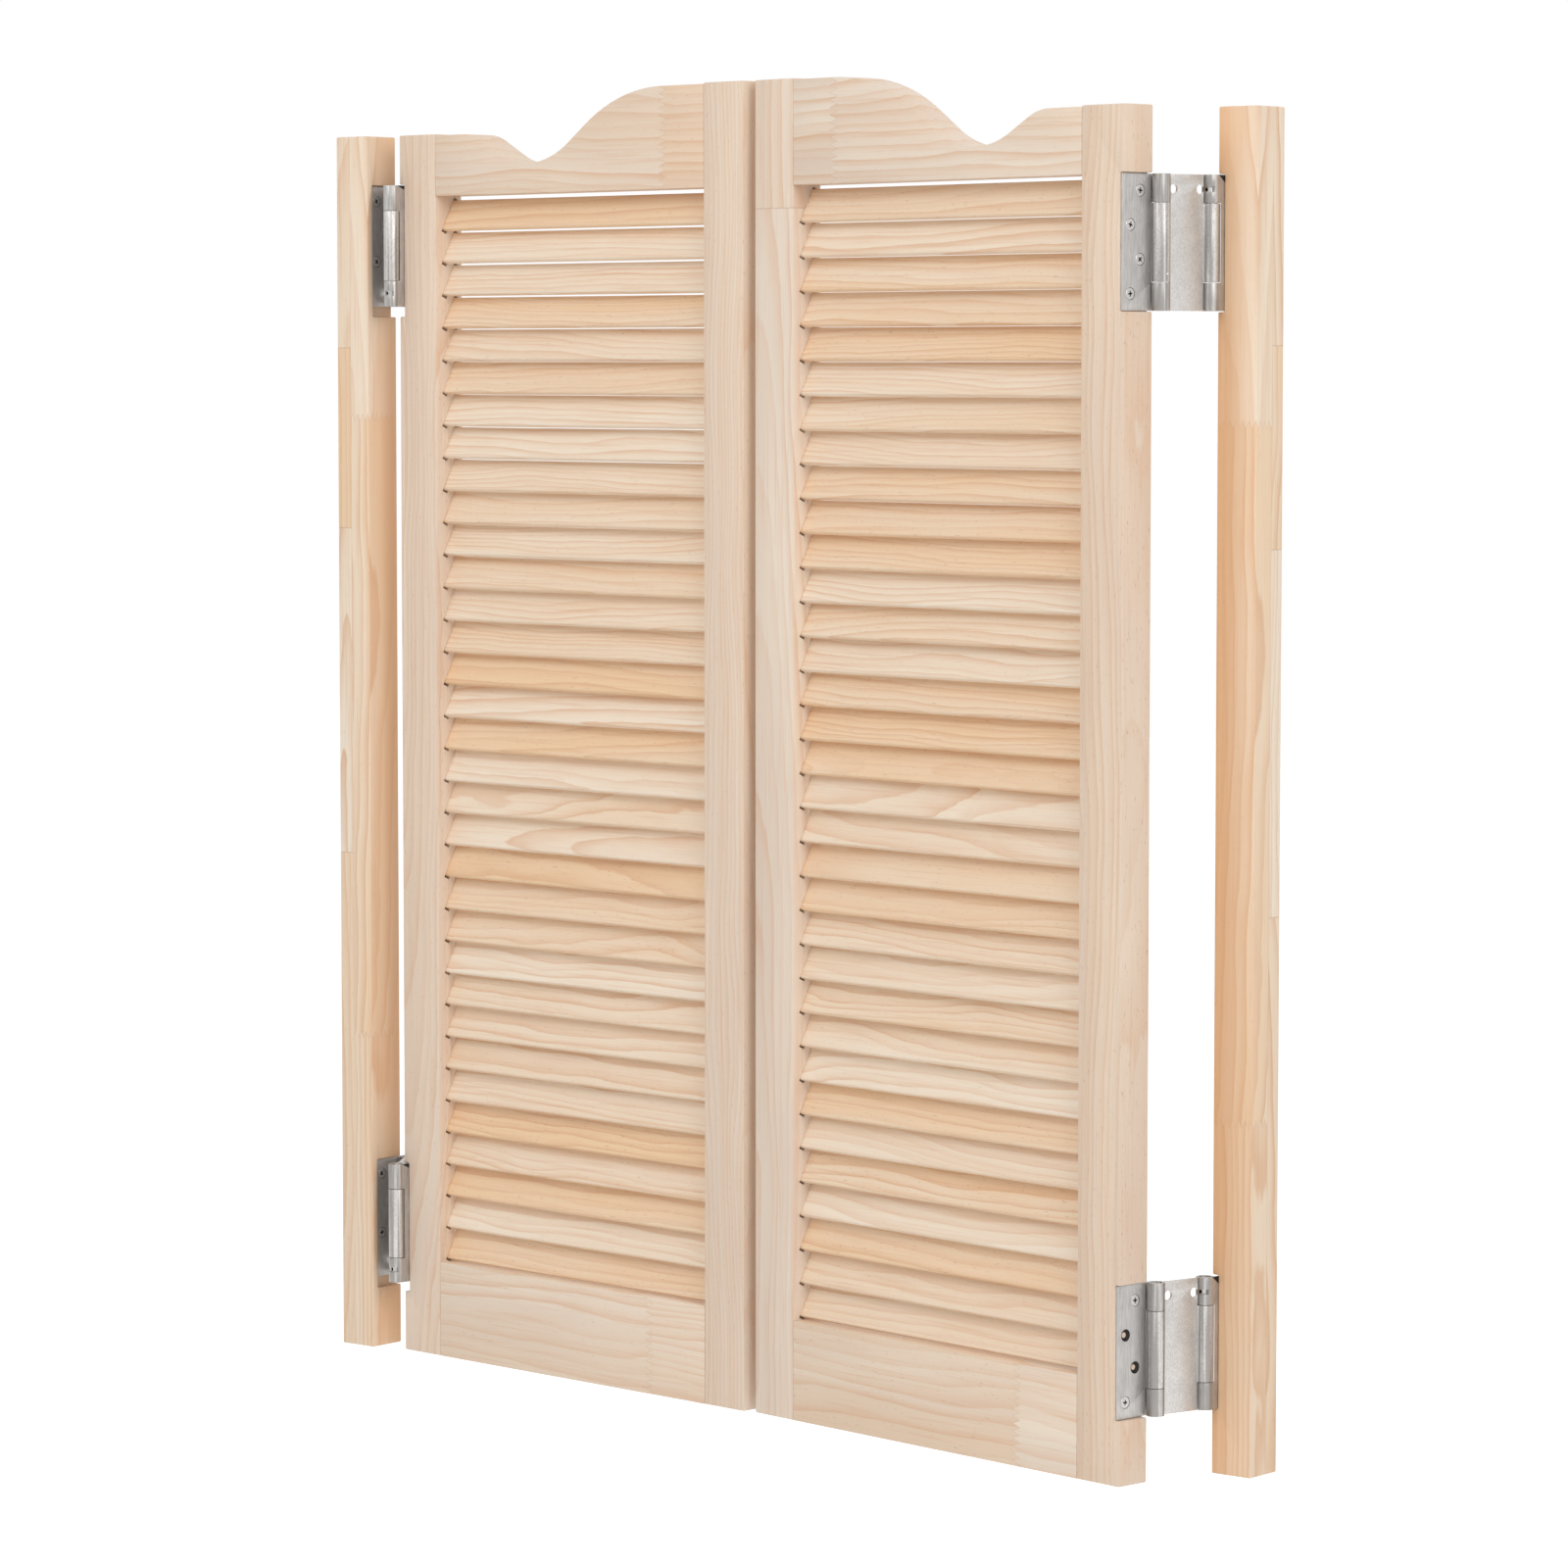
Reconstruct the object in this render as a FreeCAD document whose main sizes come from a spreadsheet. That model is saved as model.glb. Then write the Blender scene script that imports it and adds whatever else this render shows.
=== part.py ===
import FreeCAD, Part
import Sketcher
import math
import os

# A pair of louvred cafe doors hung between two posts on double-action spring hinges.
# Row frame: X runs from the left post's wall face to the right post's, Y = 0 is the middle of the
# posts' depth with the front at -Y, and Z = 0 is the middle of the posts' height.
# Each door is drawn in its own frame: x from its left end, y from its front face, z from its foot.
# Each hinge piece is drawn round its own barrel, with z from the hinge's lower end.

doc = FreeCAD.newDocument("CafeDoors")
sheet = doc.addObject("Spreadsheet::Sheet", "Sizes")

# alias, value (mm, degrees or a count), meaning
driving = [
    ("openingWidth", 946, "between the two wall faces"),
    ("postWidth", 36, "post, along the wall line"),
    ("postDepth", 35, "post, front to back"),
    ("postHeight", 1035, "post, top to bottom"),
    ("hangingRoom", 27, "post to the middle of the doorway, less one door"),
    ("doorThickness", 30, "stiles and rails"),
    ("outerHeight", 1035, "stile that carries the hinges"),
    ("innerHeight", 1067, "meeting stile"),
    ("dipDrop", 27, "lower of the two stiles' tops down to the lowest point of the dip"),
    ("stileWidth", 45, "both stiles"),
    ("railDrop", 1, "rail tops lie below the stile tops"),
    ("bottomRailHeight", 80.5, "bottom rail"),
    ("shoulderFlat", 35, "level run of the top rail beside the outer stile"),
    ("shoulderShare", 0.39, "round's share of the two radii between that run and the dip"),
    ("crestShare", 0.64, "round's share of the two radii between the dip and the crest"),
    ("shoulderCurveShare", 0.905, "share of the outer flank's bend that leaves a short straight in it"),
    ("crestCurveShare", 0.977, "share of the inner flank's bend that leaves a short straight in it"),
    ("dipShare", 0.383, "outer end to the lowest point of the dip, as a share of the door's width"),
    ("dipWood", 24.5, "wood left under the dip"),
    ("crestFlat", 49, "level run of the top rail beside the meeting stile"),
    ("slatCount", 33, "slats in one door"),
    ("slatLap", 1.85, "a slat's width past the pitch"),
    ("slatThickness", 5.5, "slat"),
    ("slatTilt", 27.5, "slat's lean from upright"),
    ("slatSetback", 7.8, "front face of the door back to the slat's lower edge"),
    ("slatRise", 3, "bottom rail up to the lowest slat"),
    ("slatDrop", 0.75, "top rail down to where one more slat would start"),
    ("slotDepth", 8, "housing of a slat's end in the stile"),
    ("slotSide", 0.15, "housing, clearance on each face of the slat"),
    ("slotEnd", 1.5, "housing, clearance past each edge of the slat"),
    ("slatEndGap", 0.3, "slat's end to the bottom of its housing"),
    ("tenonThickness", 10, "rail's tenon"),
    ("tenonLength", 20, "rail's tenon, into the stile"),
    ("tenonShoulder", 8, "rail's edge to its tenon's"),
    ("tenonSide", 0.1, "mortise, clearance on each side of the tenon"),
    ("tenonEnd", 0.5, "mortise, clearance past the tenon's end"),
    ("doorGap", 3, "post to door when closed"),
    ("hingeHeight", 101.6, "leaf and barrel"),
    ("hingeTopInset", 51, "outer stile top down to the upper hinge"),
    ("hingeFootInset", 50.5, "foot up to the lower hinge"),
    ("barrelRadius", 7, "barrel, outside"),
    ("sheetThickness", 2, "hinge metal"),
    ("barrelStandoff", 7.5, "barrel's axis out from the wood's face"),
    ("leafFlat", 28.4, "leaf on the wood, edge to the wood's face"),
    ("leafClear", 0.5, "leaf's middle edge clear of the middle barrel"),
    ("leafSeat", 0.05, "leaf off the bottom of its housing"),
    ("housingEnd", 0.7, "hinge housing, clearance past each end of the leaf"),
    ("housingStop", 0.4, "post's hinge housing, clearance past the leaf's long edge"),
    ("leftHingeRise", 9, "left hinges, higher than the right ones"),
    ("leftHousingSpare", 8, "left door's and post's housings, extra length under the leaf"),
    ("knuckleLength", 21, "end knuckle"),
    ("knuckleGap", 0.5, "end knuckle to middle barrel"),
    ("curlOpening", 52, "angle left open where the knuckle's curl ends"),
    ("plateEdgeGap", 1, "centre plate's edge off an end knuckle"),
    ("keyholeReach", 3.3, "key opening in the centre plate's edge, half its height and its depth"),
    ("keyholeFlat", 0.4, "straight of that opening's head, as a share of its reach"),
    ("slotPlace", 11, "end of the knuckle to the middle of its slot"),
    ("slotHeight", 4, "slot that the winding key works in"),
    ("slotTurn", 20, "turn of that slot round the knuckle"),
    ("slotShy", 3.8, "slot's floor off the barrel's axis"),
    ("boreFit", 0.05, "running clearance in a barrel"),
    ("journalLength", 12, "winder, length inside the middle barrel"),
    ("journalEnd", 0.5, "winder's inner end off the bottom of its bore"),
    ("winderRecess", 1, "winder's outer end inside its knuckle"),
    ("leftPlateSwing", 31.4, "left centre plate, turned from closed"),
    ("leftDoorSwing", -36.8, "left door, turned from closed about its own barrel"),
    ("rightPlateSwing", 163.8, "right centre plate, turned from closed"),
    ("rightDoorSwing", -172.6, "right door, turned from closed about its own barrel"),
]

size = {}
for row, (alias, value, meaning) in enumerate(driving, start=1):
    sheet.set(f"A{row}", meaning)
    sheet.set(f"B{row}", str(value))
    sheet.setAlias(f"B{row}", alias)
doc.recompute()
for alias, value, meaning in driving:
    size[alias] = float(sheet.get(alias))


class Cell:
    """A length with both its number now and the expression that binds it to the sheet."""

    def __init__(self, text, number):
        self.text = text
        self.number = number

    def __add__(self, other):
        other = cell(other)
        return Cell(f"({self.text} + {other.text})", self.number + other.number)

    def __sub__(self, other):
        other = cell(other)
        return Cell(f"({self.text} - {other.text})", self.number - other.number)

    def __mul__(self, factor):
        factor = cell(factor)
        return Cell(f"({self.text} * {factor.text})", self.number * factor.number)

    def __truediv__(self, factor):
        factor = cell(factor)
        return Cell(f"({self.text} / {factor.text})", self.number / factor.number)


def cell(value):
    if isinstance(value, Cell):
        return value
    if isinstance(value, str):
        return Cell(f"<<Sizes>>.{value}", size[value])
    return Cell(repr(value), value)


def sine(angle):
    return Cell(f"sin({cell(angle).text} * 1 deg)", math.sin(math.radians(cell(angle).number)))


def cosine(angle):
    return Cell(f"cos({cell(angle).text} * 1 deg)", math.cos(math.radians(cell(angle).number)))


def lesser(first, second):
    first, second = cell(first), cell(second)
    return Cell(f"min({first.text}; {second.text})", min(first.number, second.number))


parts = []


def newBody(name):
    body = doc.addObject("PartDesign::Body", name)
    body.Label = name
    body.AllowCompound = True
    parts.append(body)
    return body


def newSketch(body, role, height=0):
    """A sketch on one of the body's own origin planes, moved along its normal."""
    sketch = body.newObject("Sketcher::SketchObject", body.Name + "Sketch")
    plane = next(f for f in body.Origin.OriginFeatures if f.Role == role)
    sketch.AttachmentSupport = [(plane, "")]
    sketch.MapMode = "FlatFace"
    height = cell(height)
    sketch.AttachmentOffset = FreeCAD.Placement(FreeCAD.Vector(0, 0, height.number), FreeCAD.Rotation())
    sketch.setExpression("AttachmentOffset.Base.z", height.text)
    return sketch


def fix(sketch, kind, geometry, point, value):
    """Holds one coordinate of a point from the sketch's origin."""
    value = cell(value)
    index = sketch.addConstraint(Sketcher.Constraint(kind, -1, 1, geometry, point, value.number))
    sketch.setExpression(f"Constraints[{index}]", value.text)


def rectangle(sketch, low, high):
    """low and high are the corners, as pairs of cells."""
    x0, y0 = cell(low[0]).number, cell(low[1]).number
    x1, y1 = cell(high[0]).number, cell(high[1]).number
    corners = [FreeCAD.Vector(x, y, 0) for x, y in ((x0, y0), (x1, y0), (x1, y1), (x0, y1))]
    lines = [sketch.addGeometry(Part.LineSegment(corners[i], corners[(i + 1) % 4])) for i in range(4)]
    for i in range(4):
        sketch.addConstraint(Sketcher.Constraint("Coincident", lines[i], 2, lines[(i + 1) % 4], 1))
    for i in (0, 2):
        sketch.addConstraint(Sketcher.Constraint("Horizontal", lines[i]))
        sketch.addConstraint(Sketcher.Constraint("Vertical", lines[i + 1]))
    fix(sketch, "DistanceX", lines[0], 1, low[0])
    fix(sketch, "DistanceY", lines[0], 1, low[1])
    fix(sketch, "DistanceX", lines[1], 2, high[0])
    fix(sketch, "DistanceY", lines[1], 2, high[1])


def circle(sketch, x, y, radius):
    radius = cell(radius)
    centre = FreeCAD.Vector(cell(x).number, cell(y).number, 0)
    index = sketch.addGeometry(Part.Circle(centre, FreeCAD.Vector(0, 0, 1), radius.number))
    fix(sketch, "DistanceX", index, 3, x)
    fix(sketch, "DistanceY", index, 3, y)
    held = sketch.addConstraint(Sketcher.Constraint("Radius", index, radius.number))
    sketch.setExpression(f"Constraints[{held}]", radius.text)


def outline(sketch, points):
    """A closed polygon whose corners are all held from the sketch's origin."""
    numbers = [FreeCAD.Vector(cell(x).number, cell(y).number, 0) for x, y in points]
    count = len(points)
    lines = [sketch.addGeometry(Part.LineSegment(numbers[i], numbers[(i + 1) % count])) for i in range(count)]
    for i in range(count):
        sketch.addConstraint(Sketcher.Constraint("Coincident", lines[i], 2, lines[(i + 1) % count], 1))
    for line, (x, y) in zip(lines, points):
        fix(sketch, "DistanceX", line, 1, x)
        fix(sketch, "DistanceY", line, 1, y)


def pad(body, sketch, length, reverse=False):
    feature = body.newObject("PartDesign::Pad", body.Name + "Pad")
    feature.Profile = sketch
    feature.Length = cell(length).number
    feature.setExpression("Length", cell(length).text)
    feature.Reversed = reverse
    return feature


def pocket(body, sketch, length=None, reverse=False):
    """Cuts to a depth, or right through both ways when no depth is given."""
    feature = body.newObject("PartDesign::Pocket", body.Name + "Pocket")
    feature.Profile = sketch
    if length is None:
        feature.Type = "ThroughAll"
        feature.Midplane = True
    else:
        feature.Length = cell(length).number
        feature.setExpression("Length", cell(length).text)
        feature.Reversed = reverse
    return feature


def repeatUp(body, feature, sketch, axis, span, count):
    """Copies a feature along one axis of its sketch, over a span."""
    pattern = body.newObject("PartDesign::LinearPattern", body.Name + "Pattern")
    pattern.Originals = [feature]
    pattern.Direction = (sketch, [axis])
    pattern.Length = cell(span).number
    pattern.setExpression("Length", cell(span).text)
    pattern.Occurrences = int(round(cell(count).number))
    pattern.setExpression("Occurrences", cell(count).text)
    body.Tip = pattern
    return pattern


# Places shared by the pieces

doorWidth = cell("openingWidth") / 2 - "postWidth" - "hangingRoom"
hingeSpan = cell("outerHeight") - "hingeTopInset" - "hingeHeight" - "hingeFootInset"
firstFoot = {"left": cell("hingeFootInset") + "leftHingeRise", "right": cell("hingeFootInset")}
leafOffset = cell("barrelRadius") - "sheetThickness"
# the barrel's axis stands half the closed gap out from the wood's end
leafHousing = cell("barrelRadius") - cell("doorGap") / 2 + "leafSeat"
barrelSpan = (cell("doorThickness") + "postDepth") / 2 + cell("barrelStandoff") * 2
openingFoot = cell("bottomRailHeight")
dipZ = lesser("outerHeight", "innerHeight") - "dipDrop"
dipPlace = doorWidth * "dipShare"
openingHead = dipZ - "dipWood"
slatPitch = (openingHead - openingFoot - "slatRise" - "slatDrop") / "slatCount"
slatWidth = slatPitch + "slatLap"
barrelFoot = cell("knuckleLength") + "knuckleGap"
barrelHead = cell("hingeHeight") - barrelFoot


# Wooden pieces

def hingeHousings(body, left, fromX, toX, fromY, depth):
    """Two housings for the leaves, cut from fromY towards the back."""
    sketch = newSketch(body, "XZ_Plane", cell(0) - fromY)
    first = firstFoot["left" if left else "right"]
    spare = cell("leftHousingSpare") if left else cell(0)
    for low in (first, first + hingeSpan):
        rectangle(sketch, (fromX, low - "housingEnd" - spare), (toX, low + "hingeHeight" + "housingEnd"))
    pocket(body, sketch, depth)


def makePost(name, left):
    body = newBody(name)
    sketch = newSketch(body, "XY_Plane")
    rectangle(sketch, (0, 0), ("postWidth", "postDepth"))
    pad(body, sketch, "postHeight")
    width = cell("leafFlat") + "housingStop"
    if left:
        fromX = cell("postWidth") - leafHousing
        hingeHousings(body, left, fromX, cell("postWidth") + 1, cell("postDepth") - width, width + 1)
    else:
        hingeHousings(body, left, cell(0) - 1, leafHousing, cell(0) - 1, width + 1)
    return body


def slatHousings(body, faceX, reverse):
    """Slanted housings for the slats' ends, in the face of a stile."""
    sketch = newSketch(body, "YZ_Plane", faceX)
    outline(sketch, slatCorners("slotEnd", "slotSide"))
    feature = pocket(body, sketch, "slotDepth", reverse)
    repeatUp(body, feature, sketch, "V_Axis", slatPitch * (cell("slatCount") - 1), "slatCount")


def slatCorners(edgeGrowth=0, faceGrowth=0):
    """Corners of the lowest slat's section, grown past its edges and off its faces."""
    low, high = cell(0) - edgeGrowth, slatWidth + edgeGrowth
    front, back = cell(0) - faceGrowth, cell("slatThickness") + faceGrowth
    corners = []
    for length, depth in ((high, front), (high, back), (low, back), (low, front)):
        y = cell("slatSetback") + length * sine("slatTilt") + depth * cosine("slatTilt")
        z = openingFoot + "slatRise" + length * cosine("slatTilt") - depth * sine("slatTilt")
        corners.append((y, z))
    return corners


# a rail's tenon, low and high
bottomTenon = (cell("tenonShoulder"), cell("bottomRailHeight") - "tenonShoulder")
topTenon = (openingHead + "tenonShoulder", cell("outerHeight") - "railDrop" - "tenonShoulder")


def tenonSection(sketch, span, growth=0):
    half = (cell("tenonThickness") / 2) + growth
    middle = cell("doorThickness") / 2
    rectangle(sketch, (middle - half, span[0] - growth), (middle + half, span[1] + growth))


def mortises(body, faceX, reverse):
    sketch = newSketch(body, "YZ_Plane", faceX)
    tenonSection(sketch, bottomTenon, "tenonSide")
    tenonSection(sketch, topTenon, "tenonSide")
    pocket(body, sketch, cell("tenonLength") + "tenonEnd", reverse)


def tenons(body, span):
    """One bar through the rail that stands out of both its ends."""
    sketch = newSketch(body, "YZ_Plane", cell("stileWidth") - "tenonLength")
    tenonSection(sketch, span)
    pad(body, sketch, doorWidth - (cell("stileWidth") - "tenonLength") * 2)


def makeStile(name, left, outer):
    body = newBody(name)
    atLeftEnd = left == outer
    fromX = cell(0) if atLeftEnd else doorWidth - "stileWidth"
    sketch = newSketch(body, "XY_Plane")
    rectangle(sketch, (fromX, 0), (fromX + "stileWidth", "doorThickness"))
    pad(body, sketch, "outerHeight" if outer else "innerHeight")
    innerFace = fromX + "stileWidth" if atLeftEnd else fromX
    mortises(body, innerFace, not atLeftEnd)
    if outer:
        housingX = (cell(0) - 1, leafHousing) if left else (doorWidth - leafHousing, doorWidth + 1)
        hingeHousings(body, left, *housingX, cell(0) - 1, cell("doorThickness") + 2)
    slatHousings(body, innerFace, not atLeftEnd)
    return body


def makeBottomRail(name):
    body = newBody(name)
    sketch = newSketch(body, "XZ_Plane")
    rectangle(sketch, ("stileWidth", 0), (doorWidth - "stileWidth", "bottomRailHeight"))
    pad(body, sketch, "doorThickness", True)
    tenons(body, bottomTenon)
    return body


def flankRadii(run, drop, curve, share):
    """Radii of the round and the hollow that fill a share of the room for their bend."""
    both = (run * run + drop * drop) / (drop * 2) * curve
    return both * share, both * (cell(1) - share)


def ogeeTurn(run, drop, radii):
    """Angle of the straight between two tangent arcs that start and end level."""
    reach = math.hypot(radii - drop, run)
    return math.atan2(run, radii - drop) - math.acos(radii / reach)


def makeTopRail(name, left):
    """The rail's upper edge: a level shoulder, a hollow dip and a crest, in tangent arcs and straights."""
    body = newBody(name)
    sketch = newSketch(body, "XZ_Plane")

    def along(fromOuterEnd):
        return cell(fromOuterEnd) if left else doorWidth - fromOuterEnd

    shoulderX = cell("stileWidth") + "shoulderFlat"
    crestX = doorWidth - "stileWidth" - "crestFlat"
    shoulderZ = cell("outerHeight") - "railDrop"
    crestZ = cell("innerHeight") - "railDrop"
    shoulderRun, crestRun = dipPlace - shoulderX, crestX - dipPlace
    shoulderRadii = flankRadii(shoulderRun, shoulderZ - dipZ, "shoulderCurveShare", "shoulderShare")
    crestRadii = flankRadii(crestRun, crestZ - dipZ, "crestCurveShare", "crestShare")
    shoulderRound, shoulderHollow = (radius.number for radius in shoulderRadii)
    crestRound, crestHollow = (radius.number for radius in crestRadii)

    def vector(fromOuterEnd, up):
        x = fromOuterEnd if left else doorWidth.number - fromOuterEnd
        return FreeCAD.Vector(x, up, 0)

    def flank(levelX, levelZ, roundRadius, hollowRadius):
        """The round's centre and end, and the hollow's centre and start, going down to the dip."""
        side = 1 if levelX < dipPlace.number else -1
        turn = ogeeTurn(abs(dipPlace.number - levelX), levelZ - dipZ.number, roundRadius + hollowRadius)
        roundEnd = (levelX + side * roundRadius * math.sin(turn), levelZ - roundRadius * (1 - math.cos(turn)))
        hollowStart = (
            dipPlace.number - side * hollowRadius * math.sin(turn),
            dipZ.number + hollowRadius * (1 - math.cos(turn)),
        )
        return roundEnd, hollowStart

    shoulder = flank(shoulderX.number, shoulderZ.number, shoulderRound, shoulderHollow)
    crest = flank(crestX.number, crestZ.number, crestRound, crestHollow)

    def arc(centre, radius, start, end):
        """An arc from start to end the short way, as the sketch wants it: counter-clockwise."""
        centre, start, end = vector(*centre), vector(*start), vector(*end)
        a0 = math.atan2(start.y - centre.y, start.x - centre.x)
        a1 = math.atan2(end.y - centre.y, end.x - centre.x)
        forward = (a1 - a0) % (2 * math.pi) < math.pi
        if not forward:
            a0, a1 = a1, a0
        whole = Part.Circle(centre, FreeCAD.Vector(0, 0, 1), radius)
        index = sketch.addGeometry(Part.ArcOfCircle(whole, a0, a1))
        return index, (1, 2) if forward else (2, 1)

    foot0 = (size["stileWidth"], openingHead.number)
    head0 = (size["stileWidth"], shoulderZ.number)
    level0 = (shoulderX.number, shoulderZ.number)
    dip = (dipPlace.number, dipZ.number)
    level1 = (crestX.number, crestZ.number)
    head1 = (doorWidth.number - size["stileWidth"], crestZ.number)
    foot1 = (doorWidth.number - size["stileWidth"], openingHead.number)

    def line(start, end):
        return sketch.addGeometry(Part.LineSegment(vector(*start), vector(*end))), (1, 2)

    pieces = [
        line(foot0, head0),
        line(head0, level0),
        arc((level0[0], level0[1] - shoulderRound), shoulderRound, level0, shoulder[0]),
        line(shoulder[0], shoulder[1]),
        arc((dip[0], dip[1] + shoulderHollow), shoulderHollow, shoulder[1], dip),
        arc((dip[0], dip[1] + crestHollow), crestHollow, dip, crest[1]),
        line(crest[1], crest[0]),
        arc((level1[0], level1[1] - crestRound), crestRound, crest[0], level1),
        line(level1, head1),
        line(head1, foot1),
        line(foot1, foot0),
    ]
    for i, (index, ends) in enumerate(pieces):
        following, nextEnds = pieces[(i + 1) % len(pieces)]
        joint = "Tangent" if 1 <= i <= 7 else "Coincident"
        sketch.addConstraint(Sketcher.Constraint(joint, index, ends[1], following, nextEnds[0]))
    for i in (0, 9):
        sketch.addConstraint(Sketcher.Constraint("Vertical", pieces[i][0]))
    for i in (1, 8, 10):
        sketch.addConstraint(Sketcher.Constraint("Horizontal", pieces[i][0]))
    bends = (shoulderRadii[0], shoulderRadii[1], crestRadii[1], crestRadii[0])
    for i, radius in zip((2, 4, 5, 7), bends):
        held = sketch.addConstraint(Sketcher.Constraint("Radius", pieces[i][0], radius.number))
        sketch.setExpression(f"Constraints[{held}]", radius.text)
    sketch.addConstraint(Sketcher.Constraint("Vertical", pieces[4][0], 3, pieces[4][0], pieces[4][1][1]))
    fix(sketch, "DistanceX", pieces[0][0], 1, along("stileWidth"))
    fix(sketch, "DistanceY", pieces[0][0], 1, openingHead)
    fix(sketch, "DistanceX", pieces[2][0], pieces[2][1][0], along(shoulderX))
    fix(sketch, "DistanceY", pieces[2][0], pieces[2][1][0], shoulderZ)
    fix(sketch, "DistanceX", pieces[5][0], pieces[5][1][0], along(dipPlace))
    fix(sketch, "DistanceY", pieces[5][0], pieces[5][1][0], dipZ)
    fix(sketch, "DistanceX", pieces[8][0], 1, along(crestX))
    fix(sketch, "DistanceY", pieces[8][0], 1, crestZ)
    fix(sketch, "DistanceX", pieces[9][0], 2, along(doorWidth - "stileWidth"))
    pad(body, sketch, "doorThickness", True)
    tenons(body, topTenon)
    return body


def makeSlats(name, first, count):
    """Some of the door's slats, counted up from the first."""
    body = newBody(name)
    start = cell("stileWidth") - "slotDepth" + "slatEndGap"
    sketch = newSketch(body, "YZ_Plane", start)
    outline(sketch, [(y, z + first * slatPitch) for y, z in slatCorners()])
    feature = pad(body, sketch, doorWidth - start * 2)
    repeatUp(body, feature, sketch, "V_Axis", slatPitch * (count - 1), count)
    return body


# Hinge pieces: the leaf's flat lies on the +x side of its barrel and runs towards +y

def endwards(flipped, near, length):
    """Low end of a length that starts near the hinge's winder end, which is its foot when flipped."""
    return cell(near) if flipped else cell("hingeHeight") - near - length


def makeLeaf(name, flipped):
    """A leaf whose end knuckles are curled from its sheet, one slotted for the winder and one plugged."""
    body = newBody(name)
    sketch = newSketch(body, "XY_Plane")
    outer, inner = cell("barrelRadius"), leafOffset
    edge = cell("barrelStandoff") + "leafFlat"
    opening = math.radians(size["curlOpening"])

    def curl(radius):
        whole = Part.Circle(FreeCAD.Vector(), FreeCAD.Vector(0, 0, 1), radius.number)
        index = sketch.addGeometry(Part.ArcOfCircle(whole, opening, 2 * math.pi))
        sketch.addConstraint(Sketcher.Constraint("Coincident", index, 3, -1, 1))
        held = sketch.addConstraint(Sketcher.Constraint("Radius", index, radius.number))
        sketch.setExpression(f"Constraints[{held}]", radius.text)
        return index

    outerCurl, innerCurl = curl(outer), curl(inner)
    points = [FreeCAD.Vector(outer.number, 0, 0), FreeCAD.Vector(outer.number, edge.number, 0)]
    points += [FreeCAD.Vector(inner.number, edge.number, 0), FreeCAD.Vector(inner.number, 0, 0)]
    flat = [sketch.addGeometry(Part.LineSegment(points[i], points[i + 1])) for i in range(3)]
    lean = FreeCAD.Vector(math.cos(opening), math.sin(opening), 0)
    tip = sketch.addGeometry(Part.LineSegment(lean * inner.number, lean * outer.number))
    for first, firstEnd, second, secondEnd in (
        (outerCurl, 2, flat[0], 1),
        (flat[0], 2, flat[1], 1),
        (flat[1], 2, flat[2], 1),
        (flat[2], 2, innerCurl, 2),
        (innerCurl, 1, tip, 1),
        (tip, 2, outerCurl, 1),
    ):
        sketch.addConstraint(Sketcher.Constraint("Coincident", first, firstEnd, second, secondEnd))
    for line in (flat[0], flat[2]):
        sketch.addConstraint(Sketcher.Constraint("Vertical", line))
    sketch.addConstraint(Sketcher.Constraint("Horizontal", flat[1]))
    sketch.addConstraint(Sketcher.Constraint("Horizontal", outerCurl, 2, -1, 1))
    sketch.addConstraint(Sketcher.Constraint("Horizontal", innerCurl, 2, -1, 1))
    fix(sketch, "DistanceY", flat[1], 1, edge)
    reach = outer * cosine("curlOpening")
    fix(sketch, "DistanceX", tip, 2, reach)
    fix(sketch, "DistanceX", tip, 1, inner * cosine("curlOpening"))
    pad(body, sketch, "hingeHeight")

    middle = newSketch(body, "XY_Plane", "knuckleLength")
    circle(middle, 0, 0, outer + "leafClear")
    pocket(body, middle, cell("hingeHeight") - cell("knuckleLength") * 2, True)

    plugFoot = endwards(flipped, cell("hingeHeight") - "knuckleLength", "knuckleLength")
    plug = newSketch(body, "XY_Plane", plugFoot)
    circle(plug, 0, 0, inner)
    pad(body, plug, "knuckleLength")

    slotFoot = cell("slotPlace") if flipped else cell("hingeHeight") - "slotPlace"
    slot = newSketch(body, "XY_Plane", slotFoot - cell("slotHeight") / 2)
    half = outer + 1
    corners = []
    for across, down in ((-1, "slotShy"), (1, "slotShy"), (1, half), (-1, half)):
        x = half * across * cosine("slotTurn") - cell(down) * sine("slotTurn")
        y = cell(0) - half * across * sine("slotTurn") - cell(down) * cosine("slotTurn")
        corners.append((x, y))
    outline(slot, corners)
    pocket(body, slot, "slotHeight", True)
    return body


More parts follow.
